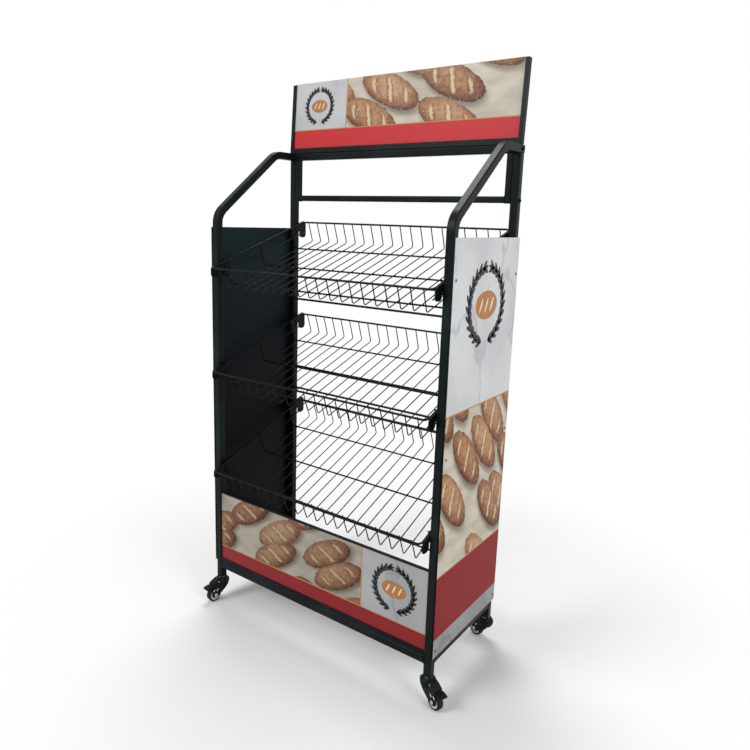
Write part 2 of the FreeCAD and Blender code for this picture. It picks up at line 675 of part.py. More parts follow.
def pedal():
    """Brake lever between the cheeks, with a wider pad for the foot behind them."""
    arm_half = CHEEK_INNER - CHEEK_GAP
    arm = extruded(PEDAL_ARM_OUTLINE, "y", -arm_half, 2 * arm_half)
    pad = extruded(PEDAL_PAD_OUTLINE, "y", -CHEEK_OUTER, 2 * CHEEK_OUTER)
    pin_bore = disc(*PEDAL_PIVOT, PEDAL_PIN_RADIUS + AXLE_GAP, span(0, 2 * CHEEK_OUTER))
    return arm.fuse(pad).cut(pin_bore)


def stem():
    """Threaded stem's plain form: pin in the head, flange under the post, shank in the socket."""
    length = POST_BOTTOM + STEM_REACH - STEM_BOTTOM
    flange_foot = HEAD_TOP + FLANGE_GAP
    pin = Part.makeCylinder(STEM_RADIUS, length, Vector(0, 0, STEM_BOTTOM))
    flange = Part.makeCylinder(STEM_FLANGE_RADIUS, POST_BOTTOM - flange_foot, Vector(0, 0, flange_foot))
    return pin.fuse(flange)


def socket():
    """Plug in the lower end of a post that holds the stem."""
    size = TUBE - 2 * TUBE_WALL - 2 * SOCKET_FIT
    z = (POST_BOTTOM, POST_BOTTOM + SOCKET_HEIGHT)
    plug = rounded_bar(span(0, size), span(0, size), z, "z", TUBE_CORNER - TUBE_WALL)
    return plug.cut(Part.makeCylinder(STEM_RADIUS, SOCKET_HEIGHT, Vector(0, 0, POST_BOTTOM)))


def at_post(shape, corner, angle=0.0):
    """Turn a caster piece by the angle and move it under its post."""
    side = SIDES[corner.split("_")[1]]
    y = -POST_Y if corner.startswith("front") else POST_Y
    shape.Placement = Placement(Vector(side * POST_X, y, 0), Rotation(AXES["z"], angle))
    return shape


def build_casters():
    save("caster_stems", [at_post(stem(), corner) for corner in CASTER_ANGLES])
    save("caster_sockets", [at_post(socket(), corner) for corner in CASTER_ANGLES])
    for corner, angle in CASTER_ANGLES.items():
        save(f"{corner}_caster_housing", at_post(housing(), corner, angle))
        save(f"{corner}_caster_pins", [at_post(pin, corner, angle) for pin in axle()])
        save(f"{corner}_caster_tyre", at_post(tyre(), corner, angle))
        save(f"{corner}_caster_hub", at_post(hub(), corner, angle))
        save(f"{corner}_caster_pedal", at_post(pedal(), corner, angle))


def main():
    os.makedirs("parts", exist_ok=True)
    build_frame()
    build_header()
    build_panels()
    build_baskets()
    build_casters()
    print(f"frame shift {FRAME_SHIFT:.3f}")


main()
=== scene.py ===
# %% [markdown]
# # A bakery bread rack, dressed
#
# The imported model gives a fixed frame: steel tubes, boards, wire baskets and casters, each riding
# on its own body. This file gives every surface its finish, and it remakes what a plain solid
# leaves out: round bent wires with their weld spots, weld seams, screw heads, moulded casters and
# the printed boards.

import json
import math
import bmesh
import bpy
from mathutils import Matrix, Vector


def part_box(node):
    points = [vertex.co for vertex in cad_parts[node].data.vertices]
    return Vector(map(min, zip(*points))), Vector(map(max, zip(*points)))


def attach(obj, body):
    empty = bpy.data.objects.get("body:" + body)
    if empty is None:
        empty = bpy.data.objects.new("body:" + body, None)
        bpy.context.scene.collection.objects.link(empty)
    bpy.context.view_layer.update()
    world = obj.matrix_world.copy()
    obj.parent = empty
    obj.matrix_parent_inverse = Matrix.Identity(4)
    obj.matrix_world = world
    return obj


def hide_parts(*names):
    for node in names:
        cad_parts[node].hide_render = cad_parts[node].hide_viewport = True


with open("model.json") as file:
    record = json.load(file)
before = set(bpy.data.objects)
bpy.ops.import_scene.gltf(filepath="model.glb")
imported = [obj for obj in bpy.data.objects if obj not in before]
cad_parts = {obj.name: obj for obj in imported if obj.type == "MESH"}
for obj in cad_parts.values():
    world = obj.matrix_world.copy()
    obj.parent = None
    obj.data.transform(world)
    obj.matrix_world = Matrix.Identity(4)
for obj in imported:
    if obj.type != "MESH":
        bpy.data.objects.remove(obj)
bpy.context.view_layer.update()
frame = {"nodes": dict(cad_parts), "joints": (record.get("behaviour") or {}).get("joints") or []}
NODES = frame["nodes"]
JOINTS = {joint["name"]: joint for joint in frame["joints"]}

# %% [markdown]
# ## Where things are
#
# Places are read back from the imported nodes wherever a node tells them, so that a new piece sits
# exactly on what carries it. The rest are the maker's own sizes, in metres.

# %% Places read from the frame
POST_LOW, POST_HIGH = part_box("left_rear_post")
BOARD_LOW, BOARD_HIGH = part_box("right_side_panel")
KICK_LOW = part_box("kick_panel")[0]
TUBE = POST_HIGH.x - POST_LOW.x
HALF_WIDTH = -POST_LOW.x
INNER_X = HALF_WIDTH - TUBE
MIDDLE_Y = (BOARD_LOW.y + BOARD_HIGH.y) / 2
POST_Y = (BOARD_HIGH.y - BOARD_LOW.y - TUBE) / 2
SIDES = {"left": -1, "right": 1}
print("tube", round(TUBE, 4), "frame middle y", round(MIDDLE_Y, 4), "post y", round(POST_Y, 4))

# %% [markdown]
# ## One way to write both kinds of node tree
#
# Materials and Geometry Nodes are both trees of nodes. `Field` wraps a socket and overloads
# Python's operators, so `1 - mask * 0.3` adds the Math nodes by itself. `Tree` has one method that
# adds any other node: first its settings, then the values or links of its sockets.

# %% Fields and trees
class Field:
    """A value that varies over a surface or from point to point."""

    def __init__(self, tree, socket):
        self.tree = tree
        self.socket = socket

    def maths(self, operation, first, second=0.0):
        return self.tree.maths(operation, first, second)

    def __add__(self, other):
        return self.maths("ADD", self, other)

    def __radd__(self, other):
        return self.maths("ADD", other, self)

    def __sub__(self, other):
        return self.maths("SUBTRACT", self, other)

    def __rsub__(self, other):
        return self.maths("SUBTRACT", other, self)

    def __mul__(self, other):
        return self.maths("MULTIPLY", self, other)

    def __rmul__(self, other):
        return self.maths("MULTIPLY", other, self)

    def __truediv__(self, other):
        return self.maths("DIVIDE", self, other)

    def __gt__(self, other):
        return self.maths("GREATER_THAN", self, other)

    def __lt__(self, other):
        return self.maths("LESS_THAN", self, other)

    def __abs__(self):
        return self.maths("ABSOLUTE", self)

    def sine(self):
        return self.maths("SINE", self)

    def cosine(self):
        return self.maths("COSINE", self)


class Tree:
    """A node tree and the short ways to add to it."""

    def plug(self, socket, value):
        if isinstance(value, Field):
            self.tree.links.new(value.socket, socket)
        else:
            socket.default_value = value

    def node(self, kind, settings, inputs, output=0):
        made = self.tree.nodes.new(kind)
        for name, value in settings.items():
            if name == "stops":
                self.set_stops(made.color_ramp, value)
            else:
                setattr(made, name, value)
        for name, value in inputs.items():
            for part in value if isinstance(value, list) else [value]:
                self.plug(made.inputs[name], part)
        return Field(self, made.outputs[output])

    def set_stops(self, ramp, stops):
        ramp.elements[0].position, ramp.elements[0].color = stops[0]
        ramp.elements[1].position, ramp.elements[1].color = stops[-1]
        for position, colour in stops[1:-1]:
            ramp.elements.new(position).color = colour

    def maths(self, operation, first, second=0.0):
        return self.node("ShaderNodeMath", {"operation": operation}, {0: first, 1: second})

    def rise(self, value, low, high):
        """0 below low, 1 above high and smooth between."""
        settings = {"interpolation_type": "SMOOTHSTEP"}
        return self.node("ShaderNodeMapRange", settings, {0: value, 1: low, 2: high})

    def fall(self, value, low, high):
        return 1.0 - self.rise(value, low, high)

    def combine(self, x=0.0, y=0.0, z=0.0):
        return self.node("ShaderNodeCombineXYZ", {}, {0: x, 1: y, 2: z})

    def part(self, vector, axis):
        """One of the three parts of a vector."""
        return self.node("ShaderNodeSeparateXYZ", {}, {0: vector}, "XYZ".index(axis))


print("Field and Tree are ready")

# %% [markdown]
# ## A material as a finish
#
# `Finish` is one material. Its patterns read Object coordinates: every mesh here lies at the
# origin with its place in its vertices, so a pattern keeps its real size on every piece and does
# not slide. Constants go straight onto the shader's own sockets, and only colour, roughness,
# metallic and the bump vary.

# %% Finishes
class Finish(Tree):
    """One material, made as a maker would name its finish."""

    def __init__(self, name, **sockets):
        self.material = bpy.data.materials.new(name)
        self.material.use_nodes = True
        self.tree = self.material.node_tree
        self.shader = self.tree.nodes["Principled BSDF"]
        self.set(**sockets)

    def set(self, **sockets):
        for name, value in sockets.items():
            self.plug(self.shader.inputs[name.replace("_", " ")], value)

    def place(self, axis=None):
        """Object coordinates, whole or one axis of them."""
        whole = self.node("ShaderNodeTexCoord", {}, {}, "Object")
        return whole if axis is None else self.part(whole, axis)

    def noise(self, scale, detail, stretch=(1, 1, 1), shift=(0, 0, 0)):
        sockets = {"Vector": self.place(), "Scale": stretch, "Location": shift}
        mapped = self.node("ShaderNodeMapping", {}, sockets)
        sockets = {"Vector": mapped, "Scale": scale, "Detail": detail}
        return self.node("ShaderNodeTexNoise", {}, sockets)

    def ramp(self, value, *stops):
        return self.node("ShaderNodeValToRGB", {"stops": stops}, {0: value})

    def mix(self, factor, first, second):
        sockets = {0: factor, 6: first, 7: second}
        return self.node("ShaderNodeMix", {"data_type": "RGBA"}, sockets, 2)

    def mottle(self, mask, first, second, roughness, spread):
        """One mask moves colour and roughness together, as tarnish and dust do."""
        self.set(Base_Color=self.mix(mask, first, second), Roughness=roughness + mask * spread)

    def bump(self, height, distance):
        sockets = {"Height": height, "Distance": distance, "Strength": 1.0}
        self.set(Normal=self.node("ShaderNodeBump", {}, sockets))


def linear(part):
    """Red, green or blue as it looks on screen, 0 to 255, as Blender's linear value."""
    return ((part / 255 + 0.055) / 1.055) ** 2.4 if part > 10 else part / 3295


def rgb(*screen):
    return (*map(linear, screen), 1.0)


def dress(material, *names):
    """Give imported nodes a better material."""
    for name in names:
        NODES[name].data.materials.clear()
        NODES[name].data.materials.append(material)
    print(material.name, "on", len(names), "nodes")


print("a mid grey of 128 is", round(linear(128), 3), "to Blender")


# %% [markdown]
# ## Black powder coat
#
# The tubes are sprayed with dry powder and baked. The skin is a satin near-black with a slight
# green-blue cast, an orange-peel ripple about 3 mm across and a little dust. A fine noise bump
# makes the ripple, and a wide noise varies colour and roughness, because one flat value would
# look like plastic film.

# %% Powder coat
def powder_coat(name, base, dusty, roughness, ripple):
    finish = Finish(name, Specular_IOR_Level=0.09)
    cloud = finish.noise(7, 4)
    speck = finish.noise(480, 2)
    colour = finish.mix(finish.rise(cloud, 0.45, 0.8), base, dusty)
    satin = roughness + (cloud - 0.5) * 0.14 + (speck - 0.5) * 0.12
    finish.set(Base_Color=colour, Roughness=satin)
    finish.bump(finish.noise(320, 2), ripple)
    return finish.material


TUBE_BLACK = powder_coat("tube powder coat", rgb(13, 20, 22), rgb(27, 37, 40), 0.33, 0.00005)
WIRE_BLACK = powder_coat("wire powder coat", rgb(9, 13, 14), rgb(17, 23, 25), 0.36, 0.00002)
dress(
    TUBE_BLACK,
    *[f"{side}_{part}" for side in SIDES for part in ("side_tube", "rear_post", "bottom_rail")],
    *[f"header_{part}" for part in ("left_stile", "right_stile", "window_bar", "top_rail")],
    *[f"sign_{part}_channel" for part in ("left", "right", "sill")],
    "front_bottom_rail", "rear_bottom_rail", "rear_cross_bars",
    "kick_channel", "kick_trim", "shelf_studs",
)
dress(WIRE_BLACK, *[f"shelf_{number}_hooks" for number in (1, 2, 3)])

# %% [markdown]
# ## Moulded black plastic, bare steel and rubber
#
# Caps, sockets and caster bodies are moulded in black plastic with a spark-eroded grain. The stems
# and axles are zinc plated, which is bright, slightly blue and cloudy. The treads are a matt
# rubber that picks up floor dust, and the wheel centres are an off-white nylon.

# %% Small finishes
def moulded_black():
    finish = Finish("moulded black plastic", Specular_IOR_Level=0.1)
    grain = finish.noise(900, 2)
    wear = finish.rise(finish.noise(30, 4), 0.5, 0.8)
    colour = finish.mix(wear, rgb(14, 20, 22), rgb(28, 36, 38))
    finish.set(Base_Color=colour, Roughness=0.34 + grain * 0.16)
    finish.bump(grain, 0.00003)
    return finish.material


def zinc_plate():
    finish = Finish("zinc plate", Metallic=1.0)
    spangle = finish.noise(160, 5)
    finish.mottle(spangle, rgb(168, 172, 178), rgb(214, 216, 218), 0.24, 0.2)
    finish.bump(finish.noise(700, 2, (1, 1, 6)), 0.00001)
    return finish.material


def screw_steel():
    finish = Finish("dull screw steel", Metallic=1.0)
    tarnish = finish.noise(220, 4)
    finish.mottle(tarnish, rgb(92, 95, 99), rgb(134, 137, 141), 0.34, 0.2)
    finish.bump(finish.noise(900, 2), 0.00001)
    return finish.material


def tread_rubber():
    finish = Finish("tread rubber", Specular_IOR_Level=0.2)
    dust = finish.rise(finish.noise(60, 5), 0.45, 0.75)
    finish.mottle(dust, rgb(20, 22, 25), rgb(42, 44, 47), 0.62, 0.2)
    finish.bump(finish.noise(500, 3), 0.00006)
    return finish.material


def wheel_nylon():
    finish = Finish("off-white nylon")
    cloud = finish.noise(90, 3)
    finish.mottle(cloud, rgb(206, 204, 192), rgb(228, 226, 216), 0.34, 0.12)
    finish.bump(finish.noise(600, 2), 0.00002)
    return finish.material


PLASTIC_BLACK = moulded_black()
ZINC = zinc_plate()
SCREW_STEEL = screw_steel()
RUBBER = tread_rubber()
NYLON = wheel_nylon()
dress(PLASTIC_BLACK, "caster_sockets", "tube_end_caps")
dress(ZINC, "caster_stems", *[name for name in NODES if name.endswith("caster_pins")])

# %% [markdown]
# ## Camera, floor and light
#
# The camera stands at chest height off the front right corner, about 2 m from the middle of the
# rack. The floor is a pale grey near the rack, where it catches the shadow, and turns into plain
# white further out. Only rays that come straight from the camera, a mirror or glass see that
# white, so it adds no light. Three large soft lamps and a dim sky then show each colour about as
# it is written.

# %% Camera
CAMERA_PLACE = (1.2563, -1.671277, 1.3702)
CAMERA_YAW, CAMERA_PITCH, CAMERA_ROLL = map(math.radians, (35.586, -11.02, 1.783))
LENS = 31.62
LENS_SHIFT = (0.01007, -0.0341)


def added(name, data):
    """A new object in the scene with this camera, lamp, curve or mesh."""
    made = bpy.data.objects.new(name, data)
    bpy.context.scene.collection.objects.link(made)
    return made


camera = added("camera", bpy.data.cameras.new("camera"))
camera.data.lens = LENS
camera.data.shift_x, camera.data.shift_y = LENS_SHIFT
camera.matrix_world = (
    Matrix.Translation(CAMERA_PLACE)
    @ Matrix.Rotation(CAMERA_YAW, 4, "Z")
    @ Matrix.Rotation(math.pi / 2 + CAMERA_PITCH, 4, "X")
    @ Matrix.Rotation(CAMERA_ROLL, 4, "Z")
)
bpy.context.scene.camera = camera
bpy.context.scene.view_settings.view_transform = "Standard"
print("camera at", CAMERA_PLACE, "lens", LENS)


# %% Floor and sky
class Studio(Tree):
    """The trees of the floor and the sky, which share the white that the camera sees."""

    def __init__(self, tree):
        self.tree = tree
        tree.nodes.clear()

    def seen_directly(self):
        """1 for rays from the camera, a mirror or glass, 0 for all that carry light."""
        camera_ray, glossy_ray, clear_ray = (
            self.node("ShaderNodeLightPath", {}, {}, ray)
            for ray in ("Is Camera Ray", "Is Glossy Ray", "Is Transmission Ray")
        )
        return self.maths("MAXIMUM", camera_ray, self.maths("MAXIMUM", glossy_ray, clear_ray))

    def finish(self, kind, surface):
        self.tree.links.new(surface.socket, self.tree.nodes.new(kind).inputs["Surface"])


WHITE = (1.0, 1.0, 1.0, 1.0)
SKY_LEVEL = 0.36
FLOOR_GREY = (0.9, 0.9, 0.9, 1.0)
NEAR_FLOOR, FAR_FLOOR = 0.62, 1.6
FLOOR_REACH = 20

world = bpy.data.worlds.new("studio sky")
world.use_nodes = True
sky = Studio(world.node_tree)
level = SKY_LEVEL + sky.seen_directly() * (1.0 - SKY_LEVEL)
background = sky.node("ShaderNodeBackground", {}, {"Color": WHITE, "Strength": level})
sky.finish("ShaderNodeOutputWorld", background)
bpy.context.scene.world = world

floor_material = bpy.data.materials.new("pale floor")
floor_material.use_nodes = True
ground = Studio(floor_material.node_tree)
spot = ground.node("ShaderNodeTexCoord", {}, {}, "Object")
distance = ground.node("ShaderNodeVectorMath", {"operation": "LENGTH"}, {0: spot}, "Value")
fade = ground.rise(distance, NEAR_FLOOR, FAR_FLOOR)
paint = ground.node("ShaderNodeBsdfDiffuse", {}, {"Color": FLOOR_GREY})
glow = ground.node("ShaderNodeEmission", {}, {"Color": WHITE, "Strength": 1.0})
sockets = {0: fade * ground.seen_directly(), 1: paint, 2: glow}
ground.finish("ShaderNodeOutputMaterial", ground.node("ShaderNodeMixShader", {}, sockets))

corners = [(x * FLOOR_REACH, y * FLOOR_REACH, 0) for x, y in ((-1, -1), (1, -1), (1, 1), (-1, 1))]
floor_mesh = bpy.data.meshes.new("floor")
floor_mesh.from_pydata(corners, [], [(0, 1, 2, 3)])
floor_mesh.materials.append(floor_material)
floor = added("floor", floor_mesh)
print("floor fades to white between", NEAR_FLOOR, "and", FAR_FLOOR, "m")


# %% Lamps
LAMP_TARGET = Vector((0, 0, 0.8))


def lamp(name, place, size, watts):
    made = added(name, bpy.data.lights.new(name, "AREA"))
    made.data.shape = "DISK"
    made.data.size = size
    made.data.energy = watts
    aim = (LAMP_TARGET - Vector(place)).to_track_quat("-Z", "Y")
    made.matrix_world = Matrix.Translation(place) @ aim.to_matrix().to_4x4()
    print(name, watts, "W")


lamp("key lamp", (-2.0, -4.2, 4.0), 2.6, 140)
lamp("fill lamp", (3.4, -0.6, 2.4), 2.2, 55)
lamp("top lamp", (-1.2, 1.2, 4.2), 2.0, 80)

# %% [markdown]
# ## Geometry Nodes as recipes
#
# Wires, welds, screws and printed ears of wheat all repeat, so each gets a Geometry Nodes tree
# with named inputs for its sizes. `Recipe` builds the tree, `make` runs it once and keeps the
# result as a plain mesh: instances are realised, and the modifier is removed.

# %% Recipes
SOCKET_KINDS = {float: "Float", int: "Int", tuple: "Vector", type(None): "Object"}
ROUND_SIDES = 10


def plain_mesh(piece):
    """What a piece's modifiers or its curve settings make, as a mesh of its own."""
    shaped = piece.evaluated_get(bpy.context.evaluated_depsgraph_get())
    return bpy.data.meshes.new_from_object(shaped)


class Recipe(Tree):
    """A Geometry Nodes tree whose named inputs are the sizes of one kind of piece."""

    def __init__(self, name, **sizes):
        self.tree = bpy.data.node_groups.new(name, "GeometryNodeTree")
        face = self.tree.interface
        face.new_socket("Geometry", in_out="INPUT", socket_type="NodeSocketGeometry")
        face.new_socket("Geometry", in_out="OUTPUT", socket_type="NodeSocketGeometry")
        self.sizes = sizes
        self.identifiers = {}
        for label, value in sizes.items():
            kind = "NodeSocket" + SOCKET_KINDS[type(value)]
            socket = face.new_socket(label, in_out="INPUT", socket_type=kind)
            self.identifiers[label] = socket.identifier
        self.entry = self.tree.nodes.new("NodeGroupInput")

    def size(self, label):
        return Field(self, self.entry.outputs[label])

    def points(self):
        """The loose points that the recipe is run on."""
        return Field(self, self.entry.outputs["Geometry"])

    def index(self):
        return self.node("GeometryNodeInputIndex", {}, {})

    def line(self, count, start, step):
        sockets = {"Count": count, "Start Location": start, "Offset": step}
        return self.node("GeometryNodeMeshLine", {"mode": "OFFSET"}, sockets)

    def row(self, kind, axis, middle=0.0):
        """One point for each wire of a kind, at their pitch."""
        count, pitch = self.size(f"{kind}_count"), self.size(f"{kind}_pitch")
        first = middle - (count - 1.0) * pitch * 0.5
        return self.line(count, self.combine(**{axis: first}), self.combine(**{axis: pitch}))

    def pair(self, reach, height=0.0, axis="x"):
        """Two points, one on each side of the middle."""
        start = self.combine(**{axis: reach * -1.0}, z=height)
        return self.line(2, start, self.combine(**{axis: reach * 2.0}))

    def curve(self, mesh):
        return self.node("GeometryNodeMeshToCurve", {}, {"Mesh": mesh})

    def rectangle(self, width, height):
        sockets = {"Width": width, "Height": height}
        return self.node("GeometryNodeCurvePrimitiveQuadrilateral", {}, sockets)

    def circle(self, diameter, sides):
        sockets = {"Resolution": sides, "Radius": diameter * 0.5}
        return self.node("GeometryNodeCurvePrimitiveCircle", {}, sockets)

    def rounded(self, curve, radius, count=5):
        sockets = {"Curve": curve, "Count": count, "Radius": radius}
        return self.node("GeometryNodeFilletCurve", {"mode": "POLY"}, sockets)

    def placed(self, geometry, place):
        """Each point of the geometry at its own place."""
        sockets = {"Geometry": geometry, "Position": place}
        return self.node("GeometryNodeSetPosition", {}, sockets)

    def swept(self, curve, profile, capped=True, scale=1.0):
        sockets = {"Curve": curve, "Profile Curve": profile, "Fill Caps": capped, "Scale": scale}
        return self.node("GeometryNodeCurveToMesh", {}, sockets)

    def tube(self, curve, diameter, sides=ROUND_SIDES):
        return self.swept(curve, self.circle(diameter, sides))

    def moved(self, geometry, shift, turn=(0, 0, 0)):
        sockets = {"Geometry": geometry, "Translation": shift, "Rotation": turn}
        return self.node("GeometryNodeTransform", {}, sockets)

    def instances(self, points, piece, turn=(0, 0, 0), scale=(1, 1, 1)):
        sockets = {"Points": points, "Instance": piece, "Rotation": turn, "Scale": scale}
        return self.node("GeometryNodeInstanceOnPoints", {}, sockets)

    def joined(self, *parts):
        return self.node("GeometryNodeJoinGeometry", {}, {"Geometry": list(parts)})

    def serve(self, geometry, material):
        """End the tree: real geometry, smooth faces, one material."""
        real = self.node("GeometryNodeRealizeInstances", {}, {"Geometry": geometry})
        smooth = self.node("GeometryNodeSetShadeSmooth", {}, {"Geometry": real})
        sockets = {"Geometry": smooth, "Material": material}
        dressed = self.node("GeometryNodeSetMaterial", {}, sockets)
        self.tree.links.new(dressed.socket, self.tree.nodes.new("NodeGroupOutput").inputs[0])
        return self

    def make(self, name, points=(), **sizes):
        """Run the tree on loose points and keep the result as a plain mesh."""
        mesh = bpy.data.meshes.new(name)
        mesh.from_pydata(points, [], [])
        piece = added(name, mesh)
        modifier = piece.modifiers.new(self.tree.name, "NODES")
        modifier.node_group = self.tree
        for label, value in {**self.sizes, **sizes}.items():
            modifier[self.identifiers[label]] = value
        result = plain_mesh(piece)
        piece.modifiers.clear()
        piece.data = result
        return piece


def settle(piece, body, slot, place=None, stands_for=()):
    """Bake a place into a piece's mesh, let it ride on its body and hide the nodes it stands for.
    """
    if place is not None:
        piece.data.transform(place)
    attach(piece, body)
    if stands_for:
        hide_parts(*stands_for)
    print(piece.name, len(piece.data.polygons), "faces on", body)


# %% [markdown]
# ## Wire baskets
#
# Each basket is a spot-welded grid. Twenty 3.5 mm wires run down the back lip, along the floor and
# up the front lip. Three 5.5 mm wires cross under them and turn up at the ends. A 6.5 mm loop
# closes the rim, and one 4 mm wire runs along each side. One bent wire is a four-point line whose
# corners are filleted, so the tree makes it once and instances it at its pitch. A basket is drawn
# flat round the origin, then tilted and lifted to its place.

# %% The basket recipe
RIM_HEIGHT = 0.071
OVER_RIM = 0.001
SIDE_WIRE_SHARE = 0.987


def bent_wire(recipe, half_run, rise, bend, diameter):
    """A wire in the YZ plane: up, along and up again, worked out from the index of four points."""
    index = recipe.index()
    y = half_run * ((index > 1.5) * 2.0 - 1.0)
    z = rise * (1.0 - (index > 0.5) * (index < 2.5))
    corners = recipe.placed(recipe.line(4, (0, 0, 0), (0, 1, 0)), recipe.combine(0.0, y, z))
    return recipe.tube(recipe.rounded(recipe.curve(corners), bend), diameter)


def basket_recipe():
    recipe = Recipe(
        "wire basket", floor_length=0.462,
        rim_height=RIM_HEIGHT, rim_wire=0.0065, rim_half_width=0.417, rim_corner=0.015,
        infill_wire=0.0035, infill_bend=0.008, infill_count=20, infill_pitch=0.0405,
        cross_wire=0.0055, cross_bend=0.010, cross_count=3, cross_pitch=0.1715,
        cross_middle=-0.0105, side_wire=0.004, side_height=0.038, weld=0.0024,
    )
    size = recipe.size
    infill_wire, cross_wire, rim_wire = size("infill_wire"), size("cross_wire"), size("rim_wire")
    rim_height, half_width = size("rim_height"), size("rim_half_width")
    half_floor = size("floor_length") * 0.5
    columns = recipe.row("infill", "x")
    rows = recipe.row("cross", "y", size("cross_middle"))

    infill = bent_wire(recipe, half_floor, rim_height + OVER_RIM, size("infill_bend"), infill_wire)
    drop = (infill_wire + cross_wire) * 0.5
    cross_half = half_width - (rim_wire + cross_wire) * 0.5
    cross = bent_wire(recipe, cross_half, rim_height + drop, size("cross_bend"), cross_wire)
    cross = recipe.moved(cross, recipe.combine(z=drop * -1.0), (0, 0, math.pi / 2))

    loop = recipe.rectangle(half_width * 2.0, size("floor_length") + infill_wire + rim_wire)
    rim = recipe.tube(recipe.rounded(loop, size("rim_corner"), 8), rim_wire, 12)
    rim = recipe.moved(rim, recipe.combine(z=rim_height))

    end_x = half_width - rim_wire * 0.5
    tie_x = end_x - cross_wire
    side_line = recipe.pair(half_floor * SIDE_WIRE_SHARE, axis="y")
    side = recipe.tube(recipe.curve(side_line), size("side_wire"))
    side_points = recipe.pair(tie_x - size("side_wire") * 0.5, size("side_height"))

    spot = recipe.node("GeometryNodeMeshIcoSphere", {}, {"Radius": size("weld"), "Subdivisions": 2})

    def spots(line, repeats, scale):
        return recipe.instances(repeats, recipe.instances(line, spot, scale=scale))

    floor_spots = spots(columns, rows, (1.0, 1.1, 0.62))
    lips = recipe.pair(half_floor + infill_wire * 0.5, rim_height, "y")
    parts = [
        recipe.instances(columns, infill), recipe.instances(rows, cross), rim,
        recipe.instances(side_points, side),
        recipe.moved(floor_spots, recipe.combine(z=infill_wire * -0.5)),
        spots(columns, lips, (1.1, 0.62, 1.0)),
        spots(recipe.pair(end_x, rim_height), rows, (0.7, 1.4, 1.1)),
        spots(recipe.pair(tie_x, size("side_height")), rows, (0.6, 1.2, 1.0)),
    ]
    return recipe.serve(recipe.joined(*parts), WIRE_BLACK)


BASKET = basket_recipe()
print("inputs of a basket:", ", ".join(BASKET.sizes))

# %% Three baskets on the slope
SHELF_CENTRE_Y = MIDDLE_Y + 0.0125
SHELVES = ("shelf_1", "shelf_2", "shelf_3")
SHELF_HEIGHTS = dict(zip(SHELVES, (1.214, 0.868, 0.522)))
SHELF_TILTS = dict(zip(SHELVES, map(math.radians, (19, 19, 21))))

for shelf, height in SHELF_HEIGHTS.items():
    tilt = Matrix.Rotation(SHELF_TILTS[shelf], 4, "X")
    place = Matrix.Translation((0, SHELF_CENTRE_Y, height)) @ tilt
    wires = [f"{shelf}_{part}" for part in ("infill_wires", "support_wires", "rim")]
    settle(BASKET.make(f"{shelf}_basket"), shelf, "black_wire", place, wires)

# %% [markdown]
# ## Weld seams
#
# Every tube end is welded all round to the tube that it meets, and each round stud and cross bar
# to its post. A hand weld is a row of overlapping ripples under the powder. Here a thin tube
# follows the outline of the joint, and a sine of its point index swells it, which gives the
# ripples with few faces. The recipe puts the same ring on as many points as a joint repeats. A
# square outline whose corners are rounded by nearly half its width is the round one.

# %% The seam recipe
RIPPLE_TURN = 1.7
RIPPLE_SWELL = 0.28
BEAD_SIDES = 6


def seam_recipe():
    recipe = Recipe(
        "weld seam", width=0.025, height=0.025, corner=0.004, bead=0.0022, step=0.0009,
        turn=(0.0, 0.0, 0.0),
    )
    size = recipe.size
    outline = recipe.rounded(recipe.rectangle(size("width"), size("height")), size("corner"), 6)
    sockets = {"Curve": outline, "Length": size("step")}
    outline = recipe.node("GeometryNodeResampleCurve", {"mode": "LENGTH"}, sockets)
    swell = 1.0 + (recipe.index() * RIPPLE_TURN).sine() * RIPPLE_SWELL
    bead = recipe.circle(size("bead"), BEAD_SIDES)
    ring = recipe.swept(outline, bead, False, swell)
    return recipe.serve(recipe.instances(recipe.points(), ring, size("turn")), TUBE_BLACK)


WELD_SEAM = seam_recipe()
ALONG_X = (0.0, math.pi / 2, 0.0)
ALONG_Y = (math.pi / 2, 0.0, 0.0)
UPRIGHT = (0.0, 0.0, 0.0)


def end_seams(node, axis, turn):
    """A seam round both ends of a straight tube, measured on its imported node."""
    low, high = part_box(node)
    size = high - low
    ends = []
    for end in (low[axis], high[axis]):
        point = (low + high) / 2
        point[axis] = end
        ends.append(point)
    across = [size[other] for other in range(3) if other != axis]
    width, height = (across[1], across[0]) if axis == 0 else across
    seams = WELD_SEAM.make(f"{node}_seams", ends, width=width, height=height, turn=turn)
    settle(seams, "frame", "black_powder_coat")


for node in ("front_bottom_rail", "rear_bottom_rail", "header_window_bar", "header_top_rail"):
    end_seams(node, 0, ALONG_X)
for node in ("left_bottom_rail", "right_bottom_rail"):
    end_seams(node, 1, ALONG_Y)
for node in ("header_left_stile", "header_right_stile"):
    end_seams(node, 2, UPRIGHT)

# %% Seams round the studs and the cross bars
CROSS_BAR = 0.008
CROSS_BAR_HEIGHTS = (0.7245, 0.811, 1.072, 1.156)
STUD = 0.020
STUD_DROP = 0.016
ROUND_CORNER = 0.499


def stud_height(y, shelf):
    """The studs hang a little below the sloping line of the side rim."""
    tilt = SHELF_TILTS[shelf]
    rise = RIM_HEIGHT * math.cos(tilt)
    lean = RIM_HEIGHT * math.sin(tilt)
    return SHELF_HEIGHTS[shelf] + rise + (y - SHELF_CENTRE_Y + lean) * math.tan(tilt) - STUD_DROP


